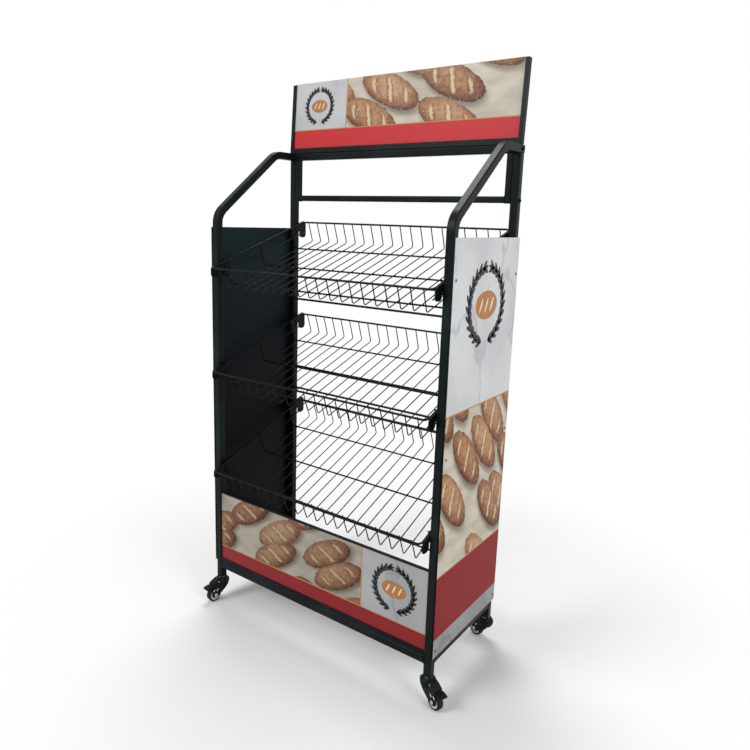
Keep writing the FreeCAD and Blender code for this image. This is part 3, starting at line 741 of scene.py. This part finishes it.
STUD_PLACES = [
    Vector((side * INNER_X, MIDDLE_Y + end * POST_Y, stud_height(MIDDLE_Y + end * POST_Y, shelf)))
    for side in SIDES.values() for shelf in SHELF_HEIGHTS for end in (-1, 1)
]
BAR_ENDS = [
    Vector((side * INNER_X, MIDDLE_Y + POST_Y, height))
    for side in SIDES.values() for height in CROSS_BAR_HEIGHTS
]
ROUND_SEAMS = (("stud_seams", STUD_PLACES, STUD), ("cross_bar_seams", BAR_ENDS, CROSS_BAR))
for name, places, diameter in ROUND_SEAMS:
    sizes = {"width": diameter, "height": diameter, "corner": diameter * ROUND_CORNER}
    seams = WELD_SEAM.make(name, places, turn=ALONG_X, **sizes)
    settle(seams, "frame", "black_powder_coat")

# %% [markdown]
# ## Turned shapes
#
# Screw heads, wheels and the caster's swivel head are turned: one profile swept round an axis. A
# Screw modifier could do it, but a drive recess isn't round, so `turned` builds the rings itself
# and lets a ring follow a hexagon or a cross.

# %% Turning rings into a mesh
def ring_reach(shape, radius, angle):
    """How far a ring reaches at an angle, for a round, hexagonal or cross-shaped ring."""
    if shape == "hexagon":
        return radius / math.cos((angle % (math.pi / 3)) - math.pi / 6) * math.cos(math.pi / 6)
    if shape == "cross":
        folded = abs((angle + math.pi / 4) % (math.pi / 2) - math.pi / 4)
        return min(radius, radius * 0.3 / max(math.sin(folded), 0.001))
    return radius


def worked_mesh(name, work):
    """The worked faces as a mesh, all of them facing outwards."""
    bmesh.ops.recalc_face_normals(work, faces=work.faces)
    mesh = bpy.data.meshes.new(name)
    work.to_mesh(mesh)
    work.free()
    return mesh


def turned(name, rings, sides, closed=False):
    """Mesh from (radius, height) or (radius, height, shape) rings round Z; open ends are filled."""
    work = bmesh.new()
    loops = []
    for radius, height, *shape in rings:
        kind = shape[0] if shape else "round"
        angles = [2 * math.pi * number / sides for number in range(sides)]
        reach = [ring_reach(kind, radius, angle) for angle in angles]
        loops.append([
            work.verts.new((far * math.cos(angle), far * math.sin(angle), height))
            for far, angle in zip(reach, angles)
        ])
    pairs = list(zip(loops, loops[1:] + loops[:1]))
    for lower, upper in pairs if closed else pairs[:-1]:
        for number in range(sides):
            following = (number + 1) % sides
            work.faces.new((lower[number], lower[following], upper[following], upper[number]))
    if not closed:
        work.faces.new(list(reversed(loops[0])))
        work.faces.new(loops[-1])
    return worked_mesh(name, work)


def shaded(mesh, angle=35):
    """Smooth faces with sharp edges where the surface turns by more than the angle."""
    mesh.polygons.foreach_set("use_smooth", [True] * len(mesh.polygons))
    mesh.set_sharp_from_angle(angle=math.radians(angle))
    return mesh


def gathered(name, parts, material):
    """One object from several meshes, each with its place."""
    work = bmesh.new()
    for mesh, place in parts:
        copy = mesh.copy()
        copy.transform(place)
        work.from_mesh(copy)
        bpy.data.meshes.remove(copy)
    mesh = worked_mesh(name, work)
    mesh.materials.append(material)
    return added(name, shaded(mesh))


print("turned, shaded and gathered are ready")

# %% [markdown]
# ## Screws and bolts
#
# The boards are held by pan-head screws with a cross recess, the header by black button-head
# bolts on washers. One head of each kind is turned with its recess. A small tree then puts it on
# every place and turns it by the sign of the place's X, so that all heads face outwards.

# %% The heads and their places
def pan_head(radius, height):
    profile = [(1, 0), (1, 0.3), (0.93, 0.62), (0.72, 0.9), (0.58, 1)]
    profile += [(0.52, 0.99, "cross"), (0.46, 0.3, "cross")]
    rings = [(radius * out, height * up, *shape) for out, up, *shape in profile]
    return turned("pan head", rings, 40)


def bolt_head(radius, height, washer_radius, washer_height):
    top = washer_height + height
    rings = [(washer_radius, 0.0), (washer_radius, washer_height * 0.7)]
    rings += [(washer_radius * 0.96, washer_height), (radius * 1.01, washer_height)]
    dome = ((1, 0.2), (0.9, 0.62), (0.66, 1))
    rings += [(radius * out, washer_height + height * up) for out, up in dome]
    rings += [(radius * 0.48, top, "hexagon"), (radius * 0.46, top * 0.5, "hexagon")]
    return turned("bolt head", rings, 36)


def heads_recipe(name, material):
    recipe = Recipe(name, head=None)
    x = recipe.part(recipe.node("GeometryNodeInputPosition", {}, {}), "X")
    outwards = ((x > 0.0) * 2.0 - 1.0) * (math.pi / 2)
    head = recipe.node("GeometryNodeObjectInfo", {}, {"Object": recipe.size("head")}, "Geometry")
    placed = recipe.instances(recipe.points(), head, recipe.combine(0.0, outwards))
    return recipe.serve(placed, material)


def set_heads(recipe, name, head_mesh, places, slot, stands_for=()):
    head = added("head", shaded(head_mesh, 30))
    piece = recipe.make(name, places, head=head)
    settle(piece, "frame", slot, stands_for=stands_for)
    bpy.data.objects.remove(head)


BOARD_SCREW_HEIGHTS = (0.170, 0.745, 1.228)
BOLT_HEIGHTS = (1.443, 1.5905)
SIGN_SCREW_HEIGHT = 1.662
SIGN_MIDDLE_Y = MIDDLE_Y + 0.1825
SIGN_LEAN = math.radians(3.6)
LEAN_FOOT = Vector((0, MIDDLE_Y + 0.190, 1.603))
lean = Matrix.Rotation(-SIGN_LEAN, 4, "X")
LEANING = Matrix.Translation(LEAN_FOOT) @ lean @ Matrix.Translation(-LEAN_FOOT)

board_places = [
    Vector((side * BOARD_HIGH.x, MIDDLE_Y + end * POST_Y, height))
    for side in SIDES.values() for end in (-1, 1) for height in BOARD_SCREW_HEIGHTS
]
sign_places = [
    LEANING @ Vector((side * HALF_WIDTH, SIGN_MIDDLE_Y, SIGN_SCREW_HEIGHT))
    for side in SIDES.values()
]
bolt_places = [
    Vector((side * HALF_WIDTH, MIDDLE_Y + POST_Y, height))
    for side in SIDES.values() for height in BOLT_HEIGHTS
]
board_head = pan_head(0.0045, 0.0024)
sign_head = pan_head(0.003, 0.0016)
bolt = bolt_head(0.0055, 0.0033, 0.007, 0.0012)
STEEL_HEADS = heads_recipe("screw heads", SCREW_STEEL)
BLACK_HEADS = heads_recipe("bolt heads", TUBE_BLACK)
set_heads(STEEL_HEADS, "board_screw_heads", board_head, board_places, "screw_steel",
          ["board_screws"])
set_heads(STEEL_HEADS, "sign_screw_heads", sign_head, sign_places, "screw_steel")
set_heads(BLACK_HEADS, "bolt_heads", bolt, bolt_places, "bolt_steel", ["header_bolts"])

# %% [markdown]
# ## Moulded plates for the casters
#
# A caster's cheeks, hood and pedal are flat shapes with rounded corners and soft edges. A filled
# 2D curve is the short way to such a plate: its splines are the outline and the holes, Extrude
# gives the thickness and Bevel the soft edge. `rounded` replaces each corner by a small arc.

# %% Plates from curves
def rounded(corners, reach, steps=5):
    """The outline with each corner replaced by a curve that starts a given reach before it."""
    points = []
    count = len(corners)
    for number in range(count):
        before, corner, after = (Vector(corners[(number + step) % count]) for step in (-1, 0, 1))
        cut = min(reach, (before - corner).length * 0.45, (after - corner).length * 0.45)
        start = corner + (before - corner).normalized() * cut
        end = corner + (after - corner).normalized() * cut
        for part in (step / steps for step in range(steps + 1)):
            left = 1 - part
            points.append(start * left ** 2 + corner * 2 * part * left + end * part ** 2)
    return points


def slot_outline(start, end, radius):
    """A round-ended slot from start to end."""
    steps = 8
    start, end = Vector(start), Vector(end)
    heading = math.atan2(end.y - start.y, end.x - start.x)
    points = []
    for centre, turn in ((end, -math.pi / 2), (start, math.pi / 2)):
        for step in range(steps + 1):
            angle = heading + turn + math.pi * step / steps
            points.append(centre + Vector((math.cos(angle), math.sin(angle))) * radius)
    return points


def plate(outlines, thickness, edge, middle=0.0):
    """A plate in the XZ plane, its thickness along Y, with soft edges and any holes."""
    curve = bpy.data.curves.new("plate", "CURVE")
    curve.dimensions = "2D"
    curve.fill_mode = "BOTH"
    curve.extrude = thickness / 2 - edge
    curve.bevel_depth = edge
    curve.bevel_resolution = 2
    curve.offset = -edge
    for outline in outlines:
        spline = curve.splines.new("POLY")
        spline.points.add(len(outline) - 1)
        places = [value for point in outline for value in (*point, 0.0, 1.0)]
        spline.points.foreach_set("co", places)
        spline.use_cyclic_u = True
    holder = added("plate", curve)
    mesh = plain_mesh(holder)
    bpy.data.objects.remove(holder)
    mesh.transform(Matrix.Translation((0, middle, 0)) @ Matrix.Rotation(math.pi / 2, 4, "X"))
    return mesh


print("plates are ready")

# %% [markdown]
# ## Casters
#
# Each caster is drawn once with its stem on the Z axis and the wheel trailing along +X, then
# turned under its post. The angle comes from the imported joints: the wheel's axle lies behind the
# stem. The fork, the wheel and the brake pedal are pieces of their own, because each of them moves
# on its own joint.

# %% Sizes of a caster
AXLE = (0.036, 0.025)
CHEEK_FACES = (0.0108, 0.0138)
SHOE_FACES = (0.0112, 0.0133)
FORK_WIDTH = 0.0276
PEDAL_GAP = 0.0008
BRAKE_PIN = (0.028, 0.060)
CHEEK_RIVET = (0.023, 0.072)
WHEEL_SIDES = 56
LYING = Matrix.Rotation(math.pi / 2, 4, "X")
STILL = Matrix.Identity(4)


def millimetres(*corners):
    return [(across / 1000, height / 1000) for across, height in corners]


CHEEK = millimetres(
    (-22, 78), (-22, 60), (-12, 44), (4, 32), (28, 17), (43, 17), (45, 29), (51, 36), (52.5, 44),
    (46, 49), (41, 52), (47, 56), (47, 65), (20, 78),
)
HOOD = millimetres(
    (-2, 77.5), (20, 77.5), (47, 64.5), (47.6, 66.4), (34, 74.6), (20, 80.4), (-2, 80.6),
)
PEDAL_ARM = millimetres((24, 57), (24, 63), (32, 64.5), (54, 61), (54, 55), (40, 55.5))
PEDAL_PAD = millimetres((49, 56), (49, 62.5), (66, 60), (72, 56), (72, 54), (62, 54.5))
SLOT_ENDS = (millimetres((27, 45), (31, 40.5)), millimetres((41, 46), (45, 41.5)))
SLOTS = [slot_outline(start, end, 0.0025) for start, end in SLOT_ENDS]


def lying_disc(radius, near, far, edge):
    """A disc with soft edges round the wheel's axis, between two distances along it."""
    rings = [(radius - edge, near), (radius, near + edge)]
    rings += [(radius, far - edge), (radius - edge, far)]
    return turned("disc", rings, 40)


def at_axis(place):
    return Matrix.Translation((place[0], 0, place[1])) @ LYING


print("wheel axle", AXLE[0], "m behind the stem and", AXLE[1], "m above the floor")


# %% Fork: swivel head, cheeks and hood
def housing_parts():
    head = [(0.0212, 0.058), (0.0226, 0.0588), (0.023, 0.0604), (0.023, 0.0664), (0.0224, 0.0669)]
    head += [(0.0224, 0.0677), (0.023, 0.0682), (0.023, 0.0744), (0.0225, 0.0762), (0.0211, 0.0782)]
    head += [(0.0178, 0.0812), (0.0158, 0.0829), (0.0148, 0.0834), (0.0056, 0.0834)]
    parts = [(turned("swivel head", head, 48), STILL)]
    parts.append((plate([rounded(HOOD, 0.003)], FORK_WIDTH, 0.0009), STILL))
    inner, outer = CHEEK_FACES
    for side in (-1, 1):
        outlines = [rounded(CHEEK, 0.006), *SLOTS]
        parts.append((plate(outlines, outer - inner, 0.0006, side * (inner + outer) / 2), STILL))
        near, far = sorted((side * inner, side * (outer + 0.0006)))
        parts.append((lying_disc(0.009, near, far, 0.0005), at_axis(AXLE)))
    return parts


def pin_parts():
    reach = CHEEK_FACES[1]
    end = [(0.0040, reach), (0.0060, reach), (0.0060, reach + 0.0009), (0.0048, reach + 0.0018)]
    axle = [(radius, -along) for radius, along in reversed(end)] + [(0.0040, 0.0)] + end
    return [
        (turned("axle", axle, 28), at_axis(AXLE)),
        (lying_disc(0.0020, -reach + 0.0004, reach - 0.0004, 0.0003), at_axis(BRAKE_PIN)),
        (lying_disc(0.0024, -reach - 0.0007, reach + 0.0007, 0.0005), at_axis(CHEEK_RIVET)),
    ]


def shoe_parts():
    """The ends of the nylon brake shoe, which show in the slots of both cheeks."""
    inner, outer = SHOE_FACES
    parts = []
    for outline in (slot_outline(*ends, 0.0023) for ends in SLOT_ENDS):
        for side in (-1, 1):
            middle = side * (inner + outer) / 2
            parts.append((plate([outline], outer - inner, 0.0004, middle), STILL))
    return parts


FORK = {"housing": housing_parts(), "pins": pin_parts(), "shoe": shoe_parts()}
print("parts of a fork:", {kind: len(parts) for kind, parts in FORK.items()})


# %% Wheel: tyre and dished centre with five ribs
def wheel_ring(name, half):
    """A ring round the axle from the profile of its one half."""
    rings = half + [(radius, -along) for radius, along in reversed(half)]
    return turned(name, rings, WHEEL_SIDES, closed=True), at_axis(AXLE)


def tyre_parts():
    half = [(0.0190, 0.0100), (0.0221, 0.0100), (0.0238, 0.0093), (0.0248, 0.0078)]
    half += [(0.0250, 0.0060), (0.0250, 0.0036), (0.0246, 0.0033), (0.0246, 0.0027)]
    half += [(0.0250, 0.0024)]
    return [wheel_ring("tyre", half)]


def hub_parts():
    half = [(0.00405, 0.0095), (0.0058, 0.0095), (0.0062, 0.0091), (0.0068, 0.0066)]
    half += [(0.0150, 0.0065), (0.0158, 0.0068), (0.0162, 0.0092), (0.0166, 0.0095)]
    half += [(0.0186, 0.0095), (0.0190, 0.0091)]
    parts = [wheel_ring("wheel centre", half)]
    rib = millimetres((6.0, -0.8), (15.8, -0.6), (15.8, 0.6), (6.0, 0.8))
    for number in range(5):
        spin = Matrix.Rotation(math.radians(72 * number + 18), 4, "Y")
        place = Matrix.Translation((AXLE[0], 0, AXLE[1])) @ spin
        parts.append((plate([rounded(rib, 0.0003, 2)], 0.0168, 0.0003), place))
    return parts


def cap_parts():
    """A black dust cap in each dish of the wheel."""
    profile = [(0.0060, 0.0060), (0.0126, 0.0060), (0.0126, 0.0078), (0.0118, 0.0087)]
    profile += [(0.0066, 0.0089), (0.0060, 0.0084)]
    parts = []
    for side in (-1, 1):
        rings = [(radius, -side * along) for radius, along in profile]
        parts.append((turned("dust cap", rings, 48, closed=True), at_axis(AXLE)))
    return parts


WHEEL = {"tyre": tyre_parts(), "hub": hub_parts(), "cap": cap_parts()}
print("parts of a wheel:", {kind: len(parts) for kind, parts in WHEEL.items()})


# %% Brake pedal with a ribbed pad
def pedal_parts():
    arm_width = 2 * (CHEEK_FACES[0] - PEDAL_GAP)
    parts = [(plate([rounded(PEDAL_ARM, 0.002)], arm_width, 0.0006), STILL)]
    parts.append((plate([rounded(PEDAL_PAD, 0.0025)], FORK_WIDTH, 0.0011), STILL))
    grip = millimetres((-0.8, -1.0), (0.8, -1.0), (0.8, 0.7), (-0.8, 0.7))
    slope = Matrix.Rotation(math.radians(8), 4, "Y")
    for along, height in millimetres((53.0, 61.9), (56.6, 61.4), (60.2, 60.8), (63.8, 60.2)):
        place = Matrix.Translation((along, 0, height)) @ slope
        parts.append((plate([rounded(grip, 0.0005, 2)], FORK_WIDTH - 0.005, 0.0004), place))
    return parts


PEDAL = pedal_parts()
print("parts of a pedal:", len(PEDAL))

# %% Four casters under their posts
CASTER_PARTS = (
    ("fork", "housing", FORK["housing"], PLASTIC_BLACK, "black_plastic"),
    ("fork", "pins", FORK["pins"], ZINC, "zinc_steel"),
    ("fork", "shoe", FORK["shoe"], NYLON, "hub_plastic"),
    ("wheel", "tyre", WHEEL["tyre"], RUBBER, "tyre"),
    ("wheel", "hub", WHEEL["hub"], NYLON, "hub_plastic"),
    ("wheel", "cap", WHEEL["cap"], PLASTIC_BLACK, "black_plastic"),
    ("brake", "pedal", PEDAL, PLASTIC_BLACK, "black_plastic"),
)
for corner in ("front_left", "front_right", "rear_left", "rear_right"):
    stem = Vector(JOINTS[f"{corner}_swivel"]["pos_m"])
    axle = Vector(JOINTS[f"{corner}_roll"]["pos_m"])
    trail = math.atan2(axle.y - stem.y, axle.x - stem.x)
    place = Matrix.Translation((stem.x, stem.y, 0)) @ Matrix.Rotation(trail, 4, "Z")
    for moving, kind, parts, material, slot in CASTER_PARTS:
        piece = gathered(f"{corner}_{kind}", parts, material)
        solid = f"{corner}_caster_{kind}"
        settle(piece, f"{corner}_{moving}", slot, place, [solid] if solid in NODES else ())

# %% [markdown]
# ## Printed boards
#
# The boards are black foam sheets with a printed film on the outer face. The print is a plain
# bakery theme: pale marble, golden loaves on linen, a red band and a wreath of wheat. The marble,
# loaves and band are one procedural finish that measures along the board in metres. Loaves come
# from a Voronoi texture: each cell is one loaf, the distance to the cell's middle gives its round
# shading, and a striped pattern across the cell gives the baker's cuts. Some fields carry painted
# shade: the low prints have a red darkened by painted shade, and a painted shade mixes marble and
# loaves with a dark tone, most on the low prints. The bare foam has a painted sheen at the top.

# %% The print as a finish
RED = rgb(194, 44, 50)
# The red of the low prints, darkened by painted shade.
RED_WITH_PAINTED_SHADE = rgb(136, 30, 34)
LINEN = rgb(206, 199, 182)
GOLD_LINE = rgb(184, 138, 78)
CUTS_IN_A_LOAF = 3.7
TABLE_HEIGHT, EYE_HEIGHT = 0.7, 1.5


class Print(Finish):
    """A board with a printed face; across and height are distances along it in metres."""

    def __init__(self, name, across, gloss=0.2):
        super().__init__(name, Specular_IOR_Level=gloss)
        self.across = self.place(across)
        self.height = self.place("Z")

    def marble(self, painted_shade=0.0):
        cloud = self.noise(5, 5)
        vein = self.fall(abs(self.noise(3.4, 6, (1, 1, 0.6), (3, 1, 2)) - 0.5), 0.0, 0.022)
        base = self.mix(self.rise(cloud, 0.35, 0.7), rgb(212, 213, 214), rgb(194, 197, 199))
        veined = self.mix(vein * 0.5, base, rgb(158, 161, 166))
        # Painted shade: the given share mixes the marble with a dark tone.
        return self.mix(painted_shade, veined, rgb(24, 28, 22))

    def loaf_cells(self, length, width, turn, shift):
        """Voronoi cells, one for each loaf: distance from the middle, place inside and a tint."""
        sockets = {"Vector": self.combine(self.across, self.height), "Rotation": (0, 0, turn)}
        flat = self.node("ShaderNodeMapping", {}, sockets)
        sockets = {"Vector": flat, "Scale": (1 / length, 1 / width, 1), "Location": (*shift, 0)}
        cells = self.node("ShaderNodeMapping", {}, sockets)
        settings = {"voronoi_dimensions": "2D"}
        sockets = {"Vector": cells, "Scale": 1.0, "Randomness": 0.5}
        distance, middle, tint = (
            self.node("ShaderNodeTexVoronoi", settings, sockets, output)
            for output in ("Distance", "Position", "Color")
        )
        sockets = {0: cells, 1: middle}
        inside = self.node("ShaderNodeVectorMath", {"operation": "SUBTRACT"}, sockets)
        return distance, self.part(inside, "X"), self.part(inside, "Y"), self.part(tint, "X")

    def loaf_skin(self, reach, along, beside, tint, rough):
        """A golden crust with scorched cuts and a dusting of flour."""
        blister = self.noise(190, 5)
        dome = self.maths("SQRT", self.maths("MAXIMUM", 1.0 - reach * reach * 4.7, 0.0))
        light = dome * 0.62 + beside * 0.42 - along * 0.2
        light = light + (rough - 0.5) * 0.7 + (blister - 0.5) * 0.5
        skin = self.ramp(
            light + (tint - 0.5) * 0.3, (0.0, rgb(84, 46, 28)), (0.28, rgb(134, 88, 58)),
            (0.5, rgb(168, 122, 88)), (0.72, rgb(190, 152, 118)), (1.0, rgb(216, 192, 160)),
        )
        wave = self.maths("FRACT", along * CUTS_IN_A_LOAF + beside + 0.5 + (rough - 0.5) * 0.3)
        open_part = self.fall(reach, 0.27, 0.34)
        scorched = self.fall(abs(wave - 0.5), 0.16, 0.25) * open_part
        cut = self.fall(abs(wave - 0.5), 0.07, 0.14) * open_part
        skin = self.mix(scorched * 0.5, skin, rgb(112, 66, 38))
        skin = self.mix(cut * (0.4 + blister * 0.6), skin, rgb(232, 208, 170))
        flour = self.rise(self.noise(260, 3), 0.56, 0.7) * self.rise(self.noise(16, 2), 0.42, 0.6)
        return self.mix(flour * 0.5, skin, rgb(236, 224, 204))

    def linen(self, near):
        """A pale cloth with folds, darker where a loaf is near."""
        fold = self.rise(self.noise(9, 4, (1, 1, 2.4)), 0.36, 0.66) * 0.7
        cloth = self.mix(fold, LINEN, rgb(176, 168, 152))
        return self.mix(self.fall(near, 0.36, 0.54) * 0.7, cloth, rgb(92, 76, 62))

    def loaves(self, length, width, turn, shift, painted_shade=0.0):
        """Golden loaves lying on linen, each with a soft shadow beside it."""
        distance, along, beside, tint = self.loaf_cells(length, width, turn, shift)
        rough = self.noise(70, 4)
        reach = distance + (rough - 0.5) * 0.07
        loaf = self.fall(reach, 0.445, 0.465)
        shadow_shift = (shift[0] - 0.05, shift[1] + 0.11)
        near = self.loaf_cells(length, width, turn, shadow_shift)[0]
        skin = self.loaf_skin(reach, along, beside, tint, rough)
        # Painted shade: the given share mixes the whole picture of loaves with a dark tone.
        return self.mix(painted_shade, self.mix(loaf, self.linen(near), skin), rgb(40, 26, 14))

    def stacked(self, lowest, *layers):
        """Straight layers from the foot upwards: each starts at its height."""
        colour = lowest
        for start, layer in layers:
            colour = self.mix(self.height > start, colour, layer)
        return colour

    def printed_where(self, outer, picture, inner):
        """The picture on the outer face, the plain board elsewhere, and a satin film."""
        grain = self.noise(260, 2)
        self.set(Base_Color=self.mix(outer, inner, picture), Roughness=0.36 + grain * 0.10)
        self.bump(grain, 0.00001)
        return self.material


def black_foam(finish):
    """Bare foam, near-black at the foot, with a painted sheen from table height upwards."""
    cloud = finish.noise(4, 3)
    # Painted sheen: the foam turns lighter from table height upwards.
    painted_sheen = finish.rise(finish.place("Z") + cloud * 0.2, TABLE_HEIGHT, EYE_HEIGHT)
    return finish.mix(painted_sheen, rgb(5, 9, 11), rgb(27, 40, 44))


print("linen as Blender sees it", [round(part, 3) for part in LINEN])

# %% Side boards
PRINT_DEPTH = 0.0003


def side_board_print():
    finish = Print("side board print", "Y", 0.07)
    marble = finish.marble()
    loaves = finish.loaves(0.27, 0.105, 0.85, (0.2, 0.35))
    # Painted shade darkens the marble at the foot and the red band above it.
    picture = finish.stacked(
        finish.marble(0.5), (0.207, RED_WITH_PAINTED_SHADE), (0.398, GOLD_LINE), (0.402, loaves),
        (0.862, GOLD_LINE), (0.866, marble),
    )
    outer = abs(finish.place("X")) > BOARD_HIGH.x - PRINT_DEPTH
    return finish.printed_where(outer, picture, black_foam(finish))


dress(side_board_print(), "left_side_panel", "right_side_panel")


# %% Kick board and header sign
WHITE_FOAM = rgb(232, 232, 230)


def kick_board_print():
    finish = Print("kick board print", "X")
    # Painted shade darkens the kick board's marble, loaves and red.
    right = finish.mix(finish.across > 0.196, GOLD_LINE, finish.marble(0.38))
    loaves = finish.loaves(0.23, 0.095, -0.5, (0.3, 0.2), 0.38)
    upper = finish.mix(finish.across > 0.192, loaves, right)
    picture = finish.stacked(RED_WITH_PAINTED_SHADE, (0.211, GOLD_LINE), (0.214, upper))
    outer = finish.place("Y") < KICK_LOW.y + PRINT_DEPTH
    return finish.printed_where(outer, picture, black_foam(finish))


def sign_print():
    finish = Print("header sign print", "X")
    loaves = finish.loaves(0.27, 0.11, 0.42, (0.1, 0.4))
    right = finish.mix(finish.across > -0.203, GOLD_LINE, loaves)
    # Painted shade darkens the sign's marble a little.
    upper = finish.mix(finish.across > -0.207, finish.marble(0.14), right)
    picture = finish.stacked(RED, (1.6815, GOLD_LINE), (1.6845, upper))
    lean = (finish.height - LEAN_FOOT.z) * math.tan(SIGN_LEAN)
    front = finish.place("Y") - lean < SIGN_MIDDLE_Y
    return finish.printed_where(front, picture, WHITE_FOAM)


dress(kick_board_print(), "kick_panel")
dress(sign_print(), "header_sign")

# %% [markdown]
# ## Wheat wreaths
#
# A wreath of two wheat ears is laid on each marble field, as a film of its own with a little
# thickness. An ear is a row of grains along an arc. The tree places the grains by their index:
# the angle grows from grain to grain, cosine and sine give the place, and each grain is turned
# along the arc and a little outwards or inwards.

# %% Wreath recipe
FILM = 0.0003
GRAIN_SIDES = 14
GRAIN_FOOT = 0.42


def wreath_recipe(material):
    recipe = Recipe(
        "wheat wreath", radius=0.100, grain_length=0.030, grain_width=0.011, grains=12,
        first_angle=-1.35, sweep=2.6, lean=0.55, stem_width=0.0022,
    )
    size = recipe.size
    sockets = {"Vertices": GRAIN_SIDES, "Radius": 0.5, "Depth": FILM}
    grain = recipe.node("GeometryNodeMeshCylinder", {}, sockets)
    grain = recipe.moved(grain, (GRAIN_FOOT, 0, FILM / 2))
    grain_size = recipe.combine(size("grain_length"), size("grain_width"), 1.0)
    angle = size("first_angle") + recipe.index() * size("sweep") / (size("grains") - 1.0)
    place = recipe.combine(angle.cosine() * size("radius"), angle.sine() * size("radius"))
    row = recipe.placed(recipe.line(size("grains"), (0, 0, 0), (0.001, 0, 0)), place)
    upright = angle + math.pi / 2
    turns = [recipe.combine(z=upright + size("lean") * way) for way in (1.0, -1.0, 0.0)]
    ears = [recipe.instances(row, grain, turn, grain_size) for turn in turns]
    stem = recipe.swept(recipe.curve(row), recipe.rectangle(size("stem_width"), FILM))
    half = recipe.joined(stem, *ears)
    other = recipe.moved(half, (0, 0, FILM), (0, math.pi, 0))
    return recipe.serve(recipe.joined(half, other), material)


def film(name, first, second):
    finish = Finish(name, Specular_IOR_Level=0.2)
    satin = 0.38 + finish.noise(200, 2) * 0.1
    finish.set(Base_Color=finish.mix(finish.noise(40, 4), first, second), Roughness=satin)
    return finish.material


CHARCOAL_FILM = film("charcoal film", rgb(44, 50, 52), rgb(56, 62, 64))
GOLDEN_FILM = film("golden film", rgb(160, 104, 58), rgb(186, 132, 80))
PALE_FILM = film("pale film", rgb(216, 202, 176), rgb(228, 216, 194))
WREATH = wreath_recipe(CHARCOAL_FILM)
print("inputs of a wreath:", ", ".join(WREATH.sizes))


# %% Loaf in the middle of a wreath
def oval(length, width, height, along=0.0, turn=0.0):
    """A flat oval film with its place."""
    mesh = turned("oval", [(0.5, 0.0), (0.5, height * 0.7), (0.485, height)], 36)
    size = Matrix.Diagonal((length, width, 1.0, 1.0))
    return mesh, Matrix.Translation((along, 0, 0)) @ Matrix.Rotation(turn, 4, "Z") @ size


def loaf_badge(scale):
    """A flat loaf and its three slanting cuts."""
    loaf = [oval(1.02 * scale, 0.62 * scale, FILM)]
    cuts = [
        oval(0.34 * scale, 0.07 * scale, FILM * 1.7, step * 0.25 * scale, 1.15)
        for step in (-1, 0, 1)
    ]
    return loaf, cuts


FRONT_FACE = Matrix.Rotation(math.pi / 2, 4, "X")
GRAIN_SHARE = (0.33, 0.115)
BADGE_SHARE = 1.25


def lay_wreath(name, body, slot, place, radius):
    """The wreath and its loaf on one board."""
    length, width = (radius * share for share in GRAIN_SHARE)
    wreath = WREATH.make(f"{name}_wreath", radius=radius, grain_length=length, grain_width=width)
    settle(wreath, body, slot, place)
    loaf, cuts = loaf_badge(radius * BADGE_SHARE)
    settle(gathered(f"{name}_loaf", loaf, GOLDEN_FILM), body, slot, place)
    settle(gathered(f"{name}_cuts", cuts, PALE_FILM), body, slot, place)


WREATH_HEIGHT = 1.150
SIGN_THICKNESS = 0.005

for side in ("right", "left"):
    outwards = Matrix.Rotation(SIDES[side] * math.pi / 2, 4, "Z") @ FRONT_FACE
    middle = Matrix.Translation((SIDES[side] * BOARD_HIGH.x, MIDDLE_Y, WREATH_HEIGHT))
    lay_wreath(f"{side}_board", "frame", "side_board", middle @ outwards, 0.105)
kick_place = Matrix.Translation((0.312, KICK_LOW.y, 0.312))
lay_wreath("kick_board", "frame", "kick_board", kick_place @ FRONT_FACE, 0.068)
sign_place = Matrix.Translation((-0.326, SIGN_MIDDLE_Y - SIGN_THICKNESS / 2, 1.762))
lay_wreath("sign", "sign", "sign_board", LEANING @ sign_place @ FRONT_FACE, 0.056)
